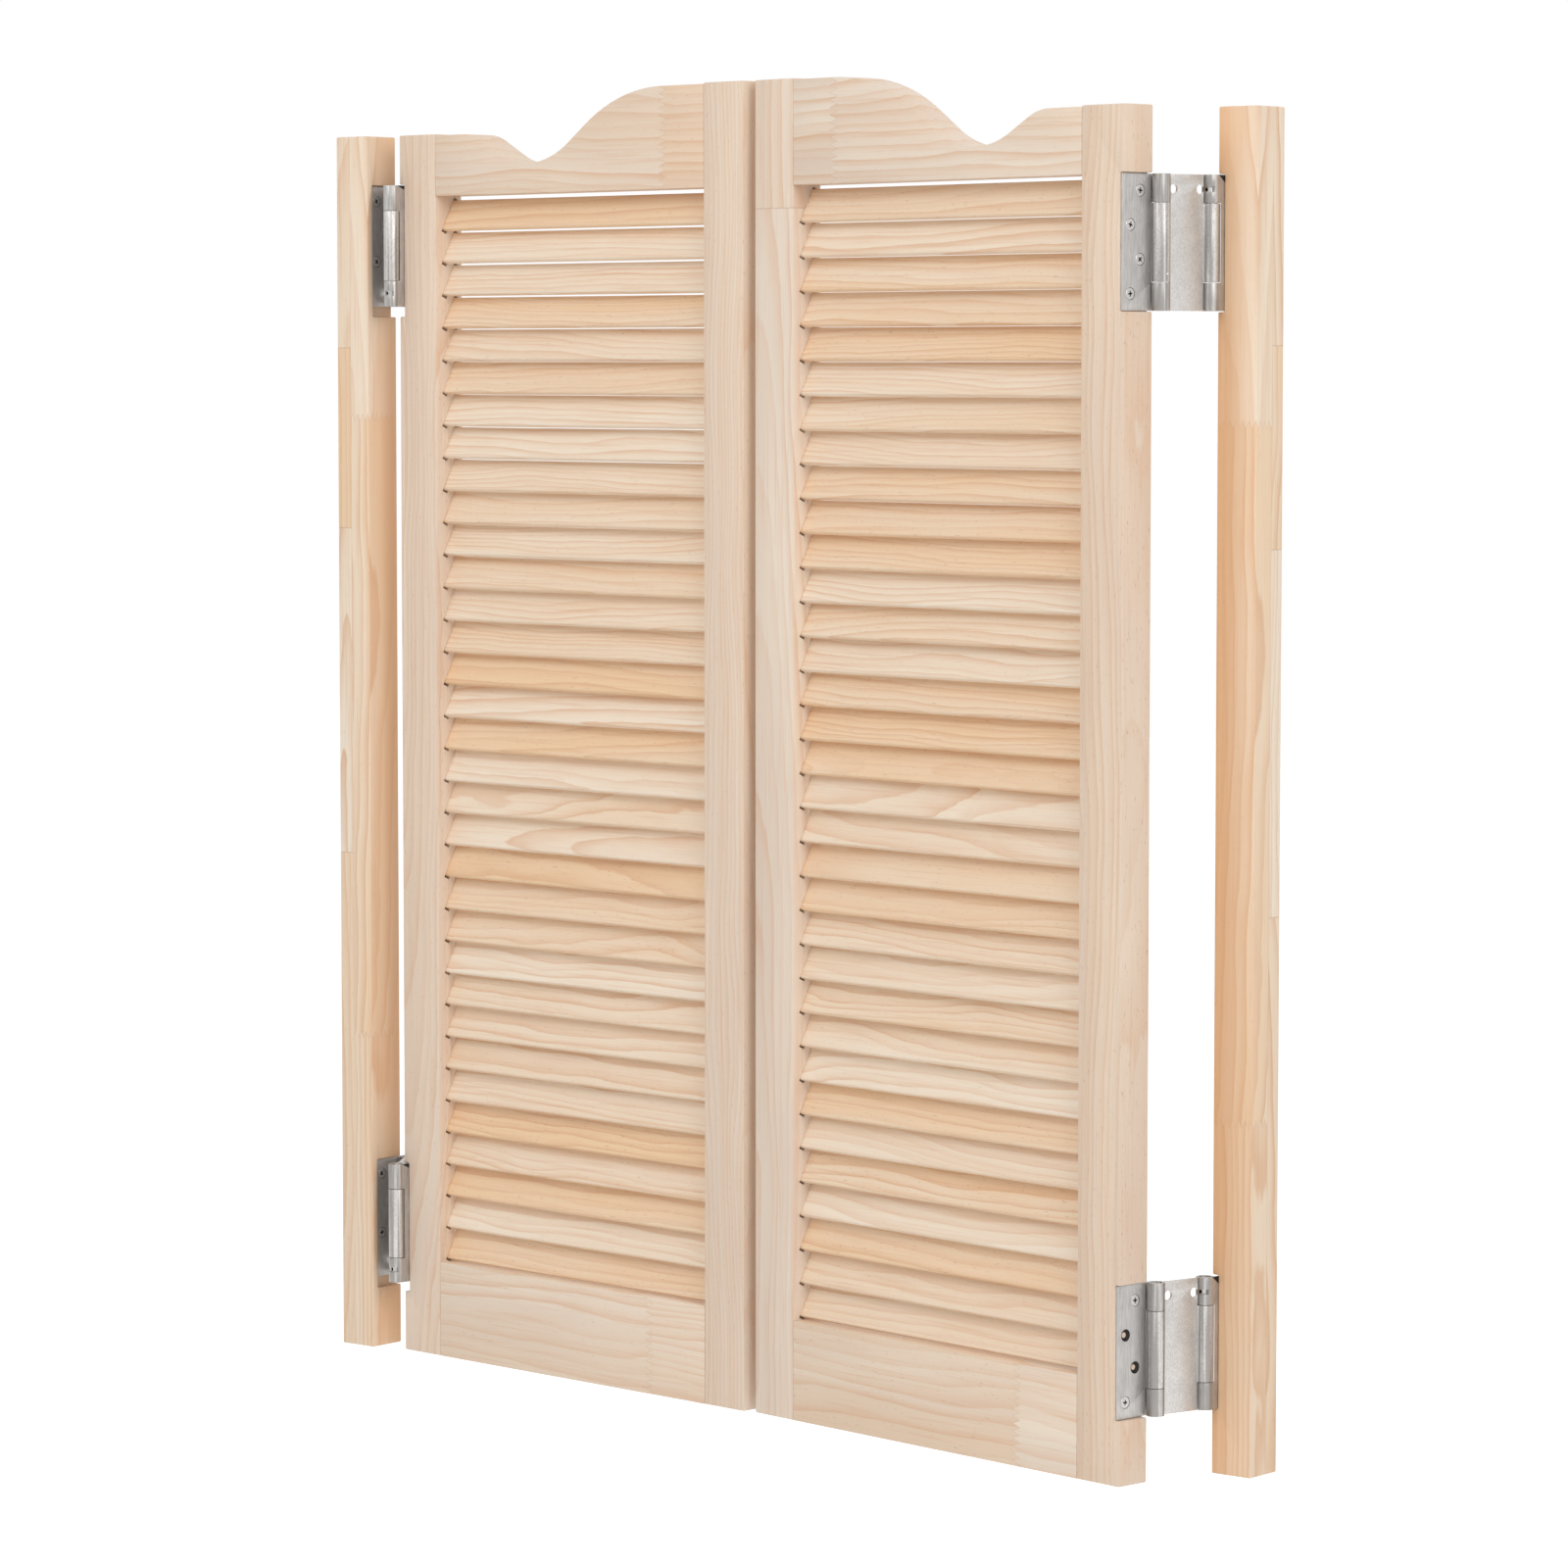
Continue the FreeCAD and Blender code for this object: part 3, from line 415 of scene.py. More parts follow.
def joined(name, pieces):
    points, faces = [], []
    for piece in pieces:
        base = len(points)
        points += [v.co.copy() for v in piece.data.vertices]
        faces += [[base + i for i in polygon.vertices] for polygon in piece.data.polygons]
        bpy.data.objects.remove(piece)
    return newObject(name, meshFrom(name, points, faces))


def arc(centre, radius, start, end, steps):
    return [(centre[0] + radius * math.cos(start + (end - start) * i / steps),
             centre[1] + radius * math.sin(start + (end - start) * i / steps)) for i in range(steps + 1)]


def combine(target, tool, operation="DIFFERENCE"):
    change = target.modifiers.new(operation, "BOOLEAN")
    change.operation = operation
    change.solver = "EXACT"
    change.object = tool


def rounded(target, width, angle=35):
    change = target.modifiers.new("eased", "BEVEL")
    change.width = width
    change.segments = 2
    change.limit_method = "ANGLE"
    change.angle_limit = math.radians(angle)
    change.use_clamp_overlap = True
    change.miter_outer = "MITER_ARC"


def shadeSmooth(mesh, angle):
    mesh.polygons.foreach_set("use_smooth", [True] * len(mesh.polygons))
    mesh.set_sharp_from_angle(angle=math.radians(angle))


smoothAngle = 35  # degrees, the sharpest turn that is shaded as round


def settle(target, name, tools=(), matrix=None, smooth=smoothAngle):
    # turns a dressed object into one plain mesh at the origin
    bpy.context.view_layer.update()
    graph = bpy.context.evaluated_depsgraph_get()
    mesh = bpy.data.meshes.new_from_object(target.evaluated_get(graph), depsgraph=graph)
    for tool in (target, *tools):
        bpy.data.objects.remove(tool)
    mesh.name = name
    if matrix is not None:
        mesh.transform(matrix)
    shadeSmooth(mesh, smooth)
    mesh.update()
    return newObject(name, mesh)


def markFaces(mesh, name, values):
    mark = mesh.attributes.new(name, "FLOAT", "FACE")
    mark.data.foreach_set("value", values)


def finishPiece(piece, material, body, replaced):
    piece.data.materials.clear()
    piece.data.materials.append(material)
    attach(piece, body)
    if replaced:
        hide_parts(*replaced)


wood = {
    "doorWidth": 0.410, "doorThickness": 0.030, "stileWidth": 0.045, "outerHeight": 1.035, "innerHeight": 1.067,
    "bottomRail": 0.0805, "topRailFoot": 0.9835, "railDrop": 0.001, "postWidth": 0.036, "postDepth": 0.035,
    "housing": 0.00555, "housingEnd": 0.0007, "housingReach": 0.0288, "hingeHeight": 0.1016,
    "ease": 0.0011, "railEase": 0.00077,
}
slats = {
    "count": 33, "pitch": 0.02725, "width": 0.0291, "thickness": 0.0055, "rounding": 0.0014, "roundingSteps": 4,
    "tilt": 27.5, "sway": 0.006, "narrowest": {"left": 0.945, "right": 0.97}, "seed": {"left": 3, "right": 8},
    "setback": 0.0078, "rise": 0.003, "slotDepth": 0.008, "slotEnd": 0.0015, "slotSide": 0.00015, "endPlay": 0.0003,
}


def housingSpans(side):
    # low and high of each hinge's housing
    at = hang[side]
    return [(low - wood["housingEnd"] - at["spare"], low + wood["hingeHeight"] + wood["housingEnd"])
            for low in sorted(at["feet"].values())]


def notched(left, right, height, side):
    # the outer stile's front outline, with the housings cut in its hinge side
    deep = wood["housing"]
    if side == "right":
        run = [(left, height), (left, 0.0), (right, 0.0)]
        for low, high in housingSpans(side):
            run += [(right, low), (right - deep, low), (right - deep, high), (right, high)]
        return run + [(right, height)]
    run = [(left, height)]
    for low, high in reversed(housingSpans(side)):
        run += [(left, high), (left + deep, high), (left + deep, low), (left, low)]
    return [(left, 0.0), (right, 0.0), (right, height)] + run


def slatSection(grow=0.0, growEnds=0.0):
    tilt = math.radians(slats["tilt"])
    corners = []
    wide, deep = slats["width"] + growEnds, slats["thickness"] + grow
    for length, depth in ((-growEnds, -grow), (wide, -grow), (wide, deep), (-growEnds, deep)):
        corners.append((slats["setback"] + length * math.sin(tilt) + depth * math.cos(tilt),
                        wood["bottomRail"] + slats["rise"] + length * math.cos(tilt) - depth * math.sin(tilt)))
    return corners


def slotCutter(low, high):
    section = slatSection(slats["slotSide"], slats["slotEnd"])
    points, faces = [], []
    for i in range(slats["count"]):
        base = len(points)
        for x in (low, high):
            points += [(x, y, z + slats["pitch"] * i) for y, z in section]
        faces += [[base, base + 1, base + 2, base + 3], [base + 7, base + 6, base + 5, base + 4]]
        faces += [[base + (k + 1) % 4, base + k, base + k + 4, base + (k + 1) % 4 + 4] for k in range(4)]
    made = newObject("slots", meshFrom("slots", points, faces))
    faceOut(made.data)
    return made


def makePost(side):
    left = side == "left"
    half, width, reach = wood["postDepth"] / 2, wood["postWidth"], wood["housingReach"]
    tall, past = wood["outerHeight"], 0.01
    board = extrude("post", [(0, 0), (width, 0), (width, tall), (0, tall)], -half, half, "Y")
    cutters = []
    for low, high in housingSpans(side):
        near, far = (-past, -half - past, low), (wood["housing"], reach - half, high)
        if left:
            near, far = (width - wood["housing"], half - reach, low), (width + past, half + past, high)
        cutters.append(boxBetween("housing", near, far))
    tool = joined("housings", cutters)
    combine(board, tool)
    rounded(board, wood["ease"])
    piece = settle(board, side + "PostWood", (tool,), Matrix.Translation((hang[side]["postX"], 0, foot)))
    finishPiece(piece, materials[side + "Post"], "posts", [side + "_post"])


def makeStile(side, outer):
    left = side == "left"
    low = 0.0 if left == outer else wood["doorWidth"] - wood["stileWidth"]
    high = low + wood["stileWidth"]
    height = wood["outerHeight"] if outer else wood["innerHeight"]
    if outer:
        outline = notched(low, high, height, side)
    else:
        outline = [(low, 0.0), (high, 0.0), (high, height), (low, height)]
    board = extrude("stile", outline, 0.0, wood["doorThickness"], "Y")
    rounded(board, wood["ease"])
    past = 0.005
    inner = (high - slats["slotDepth"], high + past) if left == outer else (low - past, low + slats["slotDepth"])
    slots = slotCutter(*inner)
    combine(board, slots)
    word = "Outer" if outer else "Inner"
    piece = settle(board, side + word + "StileWood", (slots,), doorPlace(side))
    finishPiece(piece, materials[side + word], side + "_door", [f"{side}_{word.lower()}_stile"])


wave = {
    "shoulderFlat": 0.035, "crestFlat": 0.049, "dipPlace": 0.15703, "dipWood": 0.0245,
    "shoulderRadius": 0.04486, "dipOuterRadius": 0.07017, "dipInnerRadius": 0.0868, "crestRadius": 0.1544,
}


def flankTurn(run, drop, radii):
    reach = math.hypot(radii - drop, run)
    return math.atan2(run, radii - drop) - math.acos(radii / reach)


def waveLine():
    # the top rail's upper edge, from the outer stile to the inner one
    dipZ = wood["topRailFoot"] + wave["dipWood"]
    shoulder = (wood["stileWidth"] + wave["shoulderFlat"], wood["outerHeight"] - wood["railDrop"])
    crest = (wood["doorWidth"] - wood["stileWidth"] - wave["crestFlat"], wood["innerHeight"] - wood["railDrop"])
    dip = wave["dipPlace"]
    turnA = flankTurn(dip - shoulder[0], shoulder[1] - dipZ, wave["shoulderRadius"] + wave["dipOuterRadius"])
    turnB = flankTurn(crest[0] - dip, crest[1] - dipZ, wave["crestRadius"] + wave["dipInnerRadius"])
    up, down = math.pi / 2, -math.pi / 2
    line = [(wood["stileWidth"], shoulder[1])]
    line += arc((shoulder[0], shoulder[1] - wave["shoulderRadius"]), wave["shoulderRadius"], up, up - turnA, steps=8)
    line += arc((dip, dipZ + wave["dipOuterRadius"]), wave["dipOuterRadius"], down - turnA, down, steps=10)
    line += arc((dip, dipZ + wave["dipInnerRadius"]), wave["dipInnerRadius"], down, down + turnB, steps=12)[1:]
    line += arc((crest[0], crest[1] - wave["crestRadius"]), wave["crestRadius"], up + turnB, up, steps=16)
    line += [(wood["doorWidth"] - wood["stileWidth"], crest[1])]
    return line


def makeRails(side):
    inner, outer = wood["stileWidth"], wood["doorWidth"] - wood["stileWidth"]
    line = waveLine()
    line = [(outer, wood["topRailFoot"])] + line[::-1] + [(inner, wood["topRailFoot"])]
    if side == "right":
        line = [(wood["doorWidth"] - x, z) for x, z in line]
    low = [(inner, 0.0), (outer, 0.0), (outer, wood["bottomRail"]), (inner, wood["bottomRail"])]
    for word, outline in (("top", line), ("bottom", low)):
        board = extrude("rail", outline, 0.0, wood["doorThickness"], "Y")
        rounded(board, wood["railEase"])
        piece = settle(board, f"{side}{word.title()}RailWood", matrix=doorPlace(side))
        finishPiece(piece, materials[f"{side}{word.title()}Rail"], side + "_door", [f"{side}_{word}_rail"])


for side in sides:
    makePost(side)
    makeStile(side, True)
    makeStile(side, False)
    makeRails(side)
print("boards made")


def newTree(name, inputs):
    tree = bpy.data.node_groups.new(name, "GeometryNodeTree")
    tree.interface.new_socket("Geometry", in_out="OUTPUT", socket_type="NodeSocketGeometry")
    for label, kind in inputs.items():
        tree.interface.new_socket(label, in_out="INPUT", socket_type="NodeSocket" + kind)
    source = tree.nodes.new("NodeGroupInput")
    return tree, {label: Wire(tree, source.outputs[label]) for label in inputs}


def endTree(tree, placed, material):
    real = makeNode(tree, "GeometryNodeRealizeInstances", Geometry=placed)
    coated = makeNode(tree, "GeometryNodeSetMaterial", Geometry=real, Material=material)
    tree.links.new(coated.socket, tree.nodes.new("NodeGroupOutput").inputs[0])
    return tree


def chanceIn(tree, seed, low, high):
    return makeNode(tree, "FunctionNodeRandomValue", {"data_type": "FLOAT"}, 1, {2: low, 3: high}, Seed=seed)


def growOn(host, tree, settings):
    # the tree's inputs are set by their identifiers
    change = host.modifiers.new(tree.name, "NODES")
    change.node_group = tree
    for item in tree.interface.items_tree:
        if item.in_out == "INPUT" and item.name in settings:
            change[item.identifier] = settings[item.name]
    return host


def slatTree():
    sizes = ("Length", "Width", "Thickness", "Rounding", "Tilt", "Pitch", "Narrowest", "Sway")
    inputs = {**dict.fromkeys(sizes, "Float"), "Count": "Int", "Seed": "Int", "Pine": "Material"}
    tree, given = newTree("slatRow", inputs)
    # one slat: a rounded oblong drawn along its length
    oblong = makeNode(tree, "GeometryNodeCurvePrimitiveQuadrilateral", Width=given["Thickness"], Height=given["Width"])
    section = makeNode(tree, "GeometryNodeFilletCurve", {"mode": "POLY"}, Curve=oblong, Radius=given["Rounding"],
                       Count=slats["roundingSteps"])
    line = makeNode(tree, "GeometryNodeCurvePrimitiveLine",
                    End=makeNode(tree, "ShaderNodeCombineXYZ", X=given["Length"]))
    slat = makeNode(tree, "GeometryNodeCurveToMesh",
                    values={"Curve": line, "Profile Curve": section, "Fill Caps": True})
    # the row, each slat a little off the others in lean, width and wood
    row = makeNode(tree, "GeometryNodeMeshLine", {"mode": "OFFSET"}, Count=given["Count"],
                   Offset=makeNode(tree, "ShaderNodeCombineXYZ", Z=given["Pitch"]))
    lean = given["Tilt"].radians() + chanceIn(tree, given["Seed"], given["Sway"] * -1.0, given["Sway"])
    share = chanceIn(tree, given["Seed"] + 11.0, given["Narrowest"], 1.0)
    placed = makeNode(tree, "GeometryNodeInstanceOnPoints", Points=row, Instance=slat,
                      Rotation=makeNode(tree, "ShaderNodeCombineXYZ", X=lean),
                      Scale=makeNode(tree, "ShaderNodeCombineXYZ", X=1.0, Y=1.0, Z=share))
    marked = makeNode(tree, "GeometryNodeStoreNamedAttribute", {"data_type": "FLOAT", "domain": "INSTANCE"},
                      Geometry=placed, Name="slatSeed", Value=chanceIn(tree, given["Seed"], 0.0, 1.0))
    return endTree(tree, marked, given["Pine"])


rowOfSlats = slatTree()
for side in sides:
    inset = wood["stileWidth"] - slats["slotDepth"] + slats["endPlay"]
    host = growOn(newObject("slatHost", bpy.data.meshes.new("slatHost")), rowOfSlats, {
        "Length": wood["doorWidth"] - 2 * inset, "Width": slats["width"], "Thickness": slats["thickness"],
        "Rounding": slats["rounding"], "Tilt": -slats["tilt"], "Pitch": slats["pitch"], "Sway": slats["sway"],
        "Narrowest": slats["narrowest"][side], "Count": slats["count"], "Seed": slats["seed"][side],
        "Pine": materials[side + "Slat"]})
    middle = [sum(corner[k] for corner in slatSection()) / 4 for k in (0, 1)]
    piece = settle(host, side + "Slats", matrix=doorPlace(side) @ Matrix.Translation((inset, *middle)))
    faceOut(piece.data)
    shadeSmooth(piece.data, 40)
    finishPiece(piece, materials[side + "Slat"], side + "_door",
                [f"{side}_{word}_slats" for word in ("lower", "middle", "upper")])
print("slats made")


hinge = {
    "height": 0.1016, "radius": 0.007, "sheet": 0.002, "bore": 0.005, "knuckle": 0.021, "gap": 0.0005,
    "standoff": 0.0075, "flat": 0.0284, "curl": 52.0, "span": 0.0475, "corner": 0.008,
    "keyhole": 0.0036, "keyShift": 0.0031, "boreDepth": 0.004, "softEdge": 0.00022, "softAngle": 40,
    "slotPlace": 0.011, "slotHeight": 0.004, "slotTurn": -5.0, "slotShy": 0.0038, "slotPast": 0.02,
    "dimpleDepth": 0.0009, "dimpleRadius": 0.0013, "dimplePlace": 0.006,
}
screw = {
    "headRadius": 0.0046, "headDepth": 0.0019, "softEdge": 0.0003, "shank": 0.002, "shankPlay": 0.00015,
    "length": 0.006, "crossWidth": 0.0011, "crossReach": 0.0021, "crossDepth": 0.0013,
    "core": ((-0.001, 0), (-0.001, 0.0011), (0.0008, 0.0010), (0.0018, 0.0001), (0.0018, 0)),
    "endInset": 0.0125, "near": 0.0086, "far": 0.0188,  # from the leaf's end and from its edge
    "seed": {"left": 5, "right": 9}, "missing": {("right", "lower", "Door"): (1, 2)},
}


def screwSpots(flipped):
    # across from the barrel axis and up the leaf
    edge = hinge["standoff"] + hinge["flat"]
    gap = (hinge["height"] - 2 * screw["endInset"]) / 3
    return [(edge - (screw["near"] if (i % 2 == 0) != flipped else screw["far"]), screw["endInset"] + gap * i)
            for i in range(4)]


def lathe(name, profile, axis="X", centre=(0, 0, 0), steps=40):
    # profile is (distance along, radius), closed onto the axis at both ends
    points, faces, rings = [], [], []
    for t, r in profile:
        if r < 1e-9:
            rings.append([len(points)])
            points.append((t, 0, 0))
        else:
            rings.append(list(range(len(points), len(points) + steps)))
            turns = [2 * math.pi * i / steps for i in range(steps)]
            points += [(t, r * math.cos(turn), r * math.sin(turn)) for turn in turns]
    for a, b in zip(rings, rings[1:]):
        for i in range(steps):
            j = (i + 1) % steps
            quad = [a[i % len(a)], a[j % len(a)], b[j % len(b)], b[i % len(b)]]
            faces.append([v for k, v in enumerate(quad) if v not in quad[:k]])
    if axis == "Z":
        points = [(y, z, x) for x, y, z in points]
    points = [(x + centre[0], y + centre[1], z + centre[2]) for x, y, z in points]
    made = newObject(name, meshFrom(name, points, faces))
    faceOut(made.data)
    return made


def makeLeaf(flipped):
    outer, inner = hinge["radius"], hinge["bore"]
    edge = hinge["standoff"] + hinge["flat"]
    opening = math.radians(hinge["curl"])
    outline = arc((0, 0), outer, opening, 2 * math.pi, steps=44) + [(outer, edge), (inner, edge)]
    outline += arc((0, 0), inner, 2 * math.pi, opening, steps=36)
    body = extrude("leaf", outline, 0.0, hinge["height"], "Z")
    low, high, clear = hinge["knuckle"], hinge["height"] - hinge["knuckle"], outer + hinge["gap"]
    cutters = [lathe("middle", [(low, 0), (low, clear), (high, clear), (high, 0)], "Z", steps=48)]
    wide = hinge["slotPast"]
    slotZ = hinge["slotPlace"] if flipped else hinge["height"] - hinge["slotPlace"]
    slot = boxBetween("slot", (-wide, -wide, slotZ - hinge["slotHeight"] / 2),
                      (wide, -hinge["slotShy"], slotZ + hinge["slotHeight"] / 2))
    slot.data.transform(Matrix.Rotation(math.radians(-hinge["slotTurn"]), 4, "Z"))
    cutters.append(slot)
    head, shank = screw["headRadius"] + hair, screw["shank"] + screw["shankPlay"]
    before, after = inner - 0.001, outer + 0.002
    profile = [(before, 0), (before, head), (inner, head), (inner + screw["headDepth"], shank), (after, shank),
               (after, 0)]
    for across, up in screwSpots(flipped):
        cutters.append(lathe("hole", profile, "X", (0, across, up), steps=36))
    tool = joined("cutters", cutters)
    combine(body, tool)
    rounded(body, hinge["softEdge"], hinge["softAngle"])
    return body, tool


def makePlate(flipped):
    half = hinge["sheet"] / 2
    low, high = hinge["knuckle"] + hinge["gap"], hinge["height"] - hinge["knuckle"] - hinge["gap"]
    corner, span, tall = hinge["corner"], hinge["span"], hinge["height"]
    keyZ = hinge["slotPlace"] if flipped else tall - hinge["slotPlace"]
    key, shift = hinge["keyhole"], hinge["keyShift"]
    mouth = math.acos(shift / key)
    rightKey = arc((span - corner - shift, keyZ), key, -mouth, mouth - 2 * math.pi, steps=22)
    leftKey = arc((corner + shift, keyZ), key, math.pi - mouth, mouth - math.pi, steps=22)
    rightEdge = [(span - corner, 0.0)]
    leftEdge = [(corner, tall)]
    if flipped:
        rightEdge += rightKey
    rightEdge += [(span - corner, low), (span, low), (span, high), (span - corner, high)]
    if not flipped:
        rightEdge += rightKey
        leftEdge += leftKey
    leftEdge += [(corner, high), (0.0, high), (0.0, low), (corner, low)]
    if flipped:
        leftEdge += leftKey
    outline = [(corner, 0.0)] + rightEdge + [(span - corner, tall)] + leftEdge
    sheet = extrude("plate", outline, -half, half, "X")
    barrel = [(low, 0), (low, hinge["radius"]), (high, hinge["radius"]), (high, 0)]
    tool = joined("barrels", [lathe("barrel", barrel, "Z", (0, across, 0), steps=48) for across in (0.0, span)])
    combine(sheet, tool, "UNION")
    bores = []
    past, deep, bore = 0.002, hinge["boreDepth"], hinge["bore"]
    for across in (0.0, span):
        for a, b in ((low - past, low + deep), (high - deep, high + past)):
            bores.append(lathe("bore", [(a, 0), (a, bore), (b, bore), (b, 0)], "Z", (0, across, 0)))
        small, wide = hinge["dimpleDepth"], hinge["dimpleRadius"]
        cone = [(-small, 0), (-small, hair), (0.0, wide), (past, wide + 3 * hair), (past, 0)]
        dimple = lathe("dimple", cone, steps=16)
        spot = high - hinge["dimplePlace"] if flipped else low + hinge["dimplePlace"]
        turn = Matrix.Rotation(math.radians(180 if across else 0), 4, "Z")
        outward = Matrix.Translation((hinge["radius"] - hair, 0, 0))
        dimple.data.transform(Matrix.Translation((0, across, spot)) @ turn @ outward)
        bores.append(dimple)
    second = joined("bores", bores)
    combine(sheet, second)
    rounded(sheet, hinge["softEdge"], hinge["softAngle"])
    return sheet, tool, second


winder = {
    "tail": 0.004, "play": 0.00008, "softEdge": 0.0004, "recess": 0.001, "socket": 0.0016, "socketDepth": 0.003,
    "holes": 5, "holeRadius": 0.0015, "holeFrom": 0.0028, "holeTo": 0.008, "holeTurn": -29.0,
}


def makeWinder(flipped):
    top = hinge["height"] - winder["recess"]
    low = hinge["height"] - hinge["knuckle"] - winder["tail"]
    radius, soft = hinge["bore"] - winder["play"], winder["softEdge"]
    pit = top - winder["socketDepth"]
    drum = lathe("drum", [(low, 0), (low, radius), (top - soft, radius), (top, radius - soft),
                          (top, winder["socket"]), (pit, winder["socket"]), (pit, 0)], "Z", steps=36)
    holes = []
    inner, outer, wide = winder["holeFrom"], winder["holeTo"], winder["holeRadius"]
    for k in range(winder["holes"]):
        hole = lathe("hole", [(inner, 0), (inner, wide), (outer, wide), (outer, 0)], steps=20)
        turn = Matrix.Rotation(math.radians(360 / winder["holes"] * k + winder["holeTurn"]), 4, "Z")
        hole.data.transform(Matrix.Translation((0, 0, hinge["height"] - hinge["slotPlace"])) @ turn)
        holes.append(hole)
    tool = joined("holes", holes)
    combine(drum, tool)
    if flipped:
        for one in (drum, tool):
            one.data.transform(Matrix.Translation((0, 0, hinge["height"])) @ Matrix.Scale(-1, 4, (0, 0, 1)))
            faceOut(one.data)
    return drum, tool


def makeCopies(name, build, marks, material, body, replaced, places):
    # one shape, at each of its places; marks says what each face is
    solid, *tools = build
    piece = settle(solid, name + "Shape", tools)
    rows = {mark: [float(test(polygon.center)) for polygon in piece.data.polygons] for mark, test in marks.items()}
    copies = []
    for matrix in places:
        copy = newObject(name + "Copy", piece.data.copy())
        copy.data.transform(matrix)
        copies.append(copy)
    bpy.data.objects.remove(piece)
    piece = joined(name, copies)
    shadeSmooth(piece.data, smoothAngle)
    for mark, row in rows.items():
        markFaces(piece.data, mark, row * len(places))
    finishPiece(piece, material, body, replaced)


def leafMarks(flipped):
    spots = screwSpots(flipped)

    # faces inside the screw holes, to be painted as shade
    def inHole(centre):
        reach = min(math.hypot(centre.y - across, centre.z - up) for across, up in spots)
        return centre.x > hinge["bore"] - hair and reach < screw["headRadius"] + 2 * hair

    def onBarrel(centre):
        return math.hypot(centre.x, centre.y) < hinge["radius"] + hair
    return {"recessShade": inHole, "barrel": onBarrel}


def plateMarks():
    def onBarrel(centre):
        reach = min(math.hypot(centre.x, centre.y - across) for across in (0.0, hinge["span"]))
        return reach < hinge["radius"] + hair
    return {"barrel": onBarrel}


def winderMarks(flipped):
    rise = hinge["slotPlace"] if flipped else hinge["height"] - hinge["slotPlace"]
    inside = hinge["bore"] - 3 * hair

    # faces inside the winder's holes, to be painted as shade
    def inHole(centre):
        return math.hypot(centre.x, centre.y) < inside and abs(centre.z - rise) < 0.002
    return {"recessShade": inHole}


for side in sides:
    at = hang[side]
    flipped = at["winderAtFoot"]
    for word, up in at["feet"].items():
        name = side + word.title()
        makeCopies(name + "DoorLeaf", makeLeaf(flipped), leafMarks(flipped), materials["hinge"], side + "_door",
                   [f"{side}_{word}_door_leaf"], [placeAt(at["doorLeafTurn"], at["doorAxis"], up=up)])
        makeCopies(name + "PostLeaf", makeLeaf(flipped), leafMarks(flipped), materials["hinge"], "posts",
                   [f"{side}_{word}_post_leaf"], [placeAt(at["postLeafTurn"], at["postAxis"], up=up)])
        makeCopies(name + "CentrePlate", makePlate(flipped), plateMarks(), materials["plate"], side + "_hinge_plates",
                   [f"{side}_{word}_centre_plate"], [placeAt(at["plateTurn"], at["postAxis"], up=up)])
    for word, turn, axis, body in (("door", at["doorLeafTurn"], at["doorAxis"], side + "_door"),
                                   ("post", at["postLeafTurn"], at["postAxis"], "posts")):
        places = [placeAt(turn, axis, up=up) for up in at["feet"].values()]
        makeCopies(f"{side}{word.title()}Winders", makeWinder(flipped), winderMarks(flipped), materials["winder"],
                   body, [f"{side}_{word}_winders"], places)
print("hinges made")


def screwHead():
    radius, deep, shank = screw["headRadius"] - hair, screw["headDepth"], screw["shank"]
    soft, length = screw["softEdge"], screw["length"]
    head = lathe("head", [(hair, 0), (hair, radius - soft), (soft, radius), (soft + hair, radius), (deep, shank),
                          (length, shank), (length, 0)], steps=32)
    half, reach = screw["crossWidth"] / 2, screw["crossReach"]
    tools = [lathe("core", screw["core"], steps=16)]
    for turn in (0, 90):
        outline = [(-half, -reach), (half, -reach), (half, reach), (-half, reach)]
        blade = extrude("blade", outline, screw["core"][0][0], screw["crossDepth"], "X")
        blade.data.transform(Matrix.Rotation(math.radians(turn), 4, "X"))
        tools.insert(-1, blade)
    for tool in tools:
        combine(head, tool)
    made = settle(head, "screwHead", tools, smooth=30)
    # the faces of the cross recess, to be painted as shade
    cross = [float(p.center.x > 1.2 * hair and math.hypot(p.center.y, p.center.z) < reach + 2 * hair)
             for p in made.data.polygons]
    markFaces(made.data, "recessShade", cross)
    return made


def screwTree(source):
    # the points to stand on have to be the tree's first input
    tree, given = newTree("screwRow", {"Spots": "Geometry", "Seed": "Int", "Steel": "Material"})
    shape = makeNode(tree, "GeometryNodeObjectInfo", output="Geometry", Object=source)
    points = makeNode(tree, "GeometryNodeMeshToPoints", Mesh=given["Spots"])
    facing = makeNode(tree, "GeometryNodeInputNamedAttribute", {"data_type": "FLOAT"}, Name="facing")
    spin = chanceIn(tree, given["Seed"], 0.0, 3.14)
    placed = makeNode(tree, "GeometryNodeInstanceOnPoints", Points=points, Instance=shape,
                      Rotation=makeNode(tree, "ShaderNodeCombineXYZ", X=spin, Z=facing))
    return endTree(tree, placed, given["Steel"])


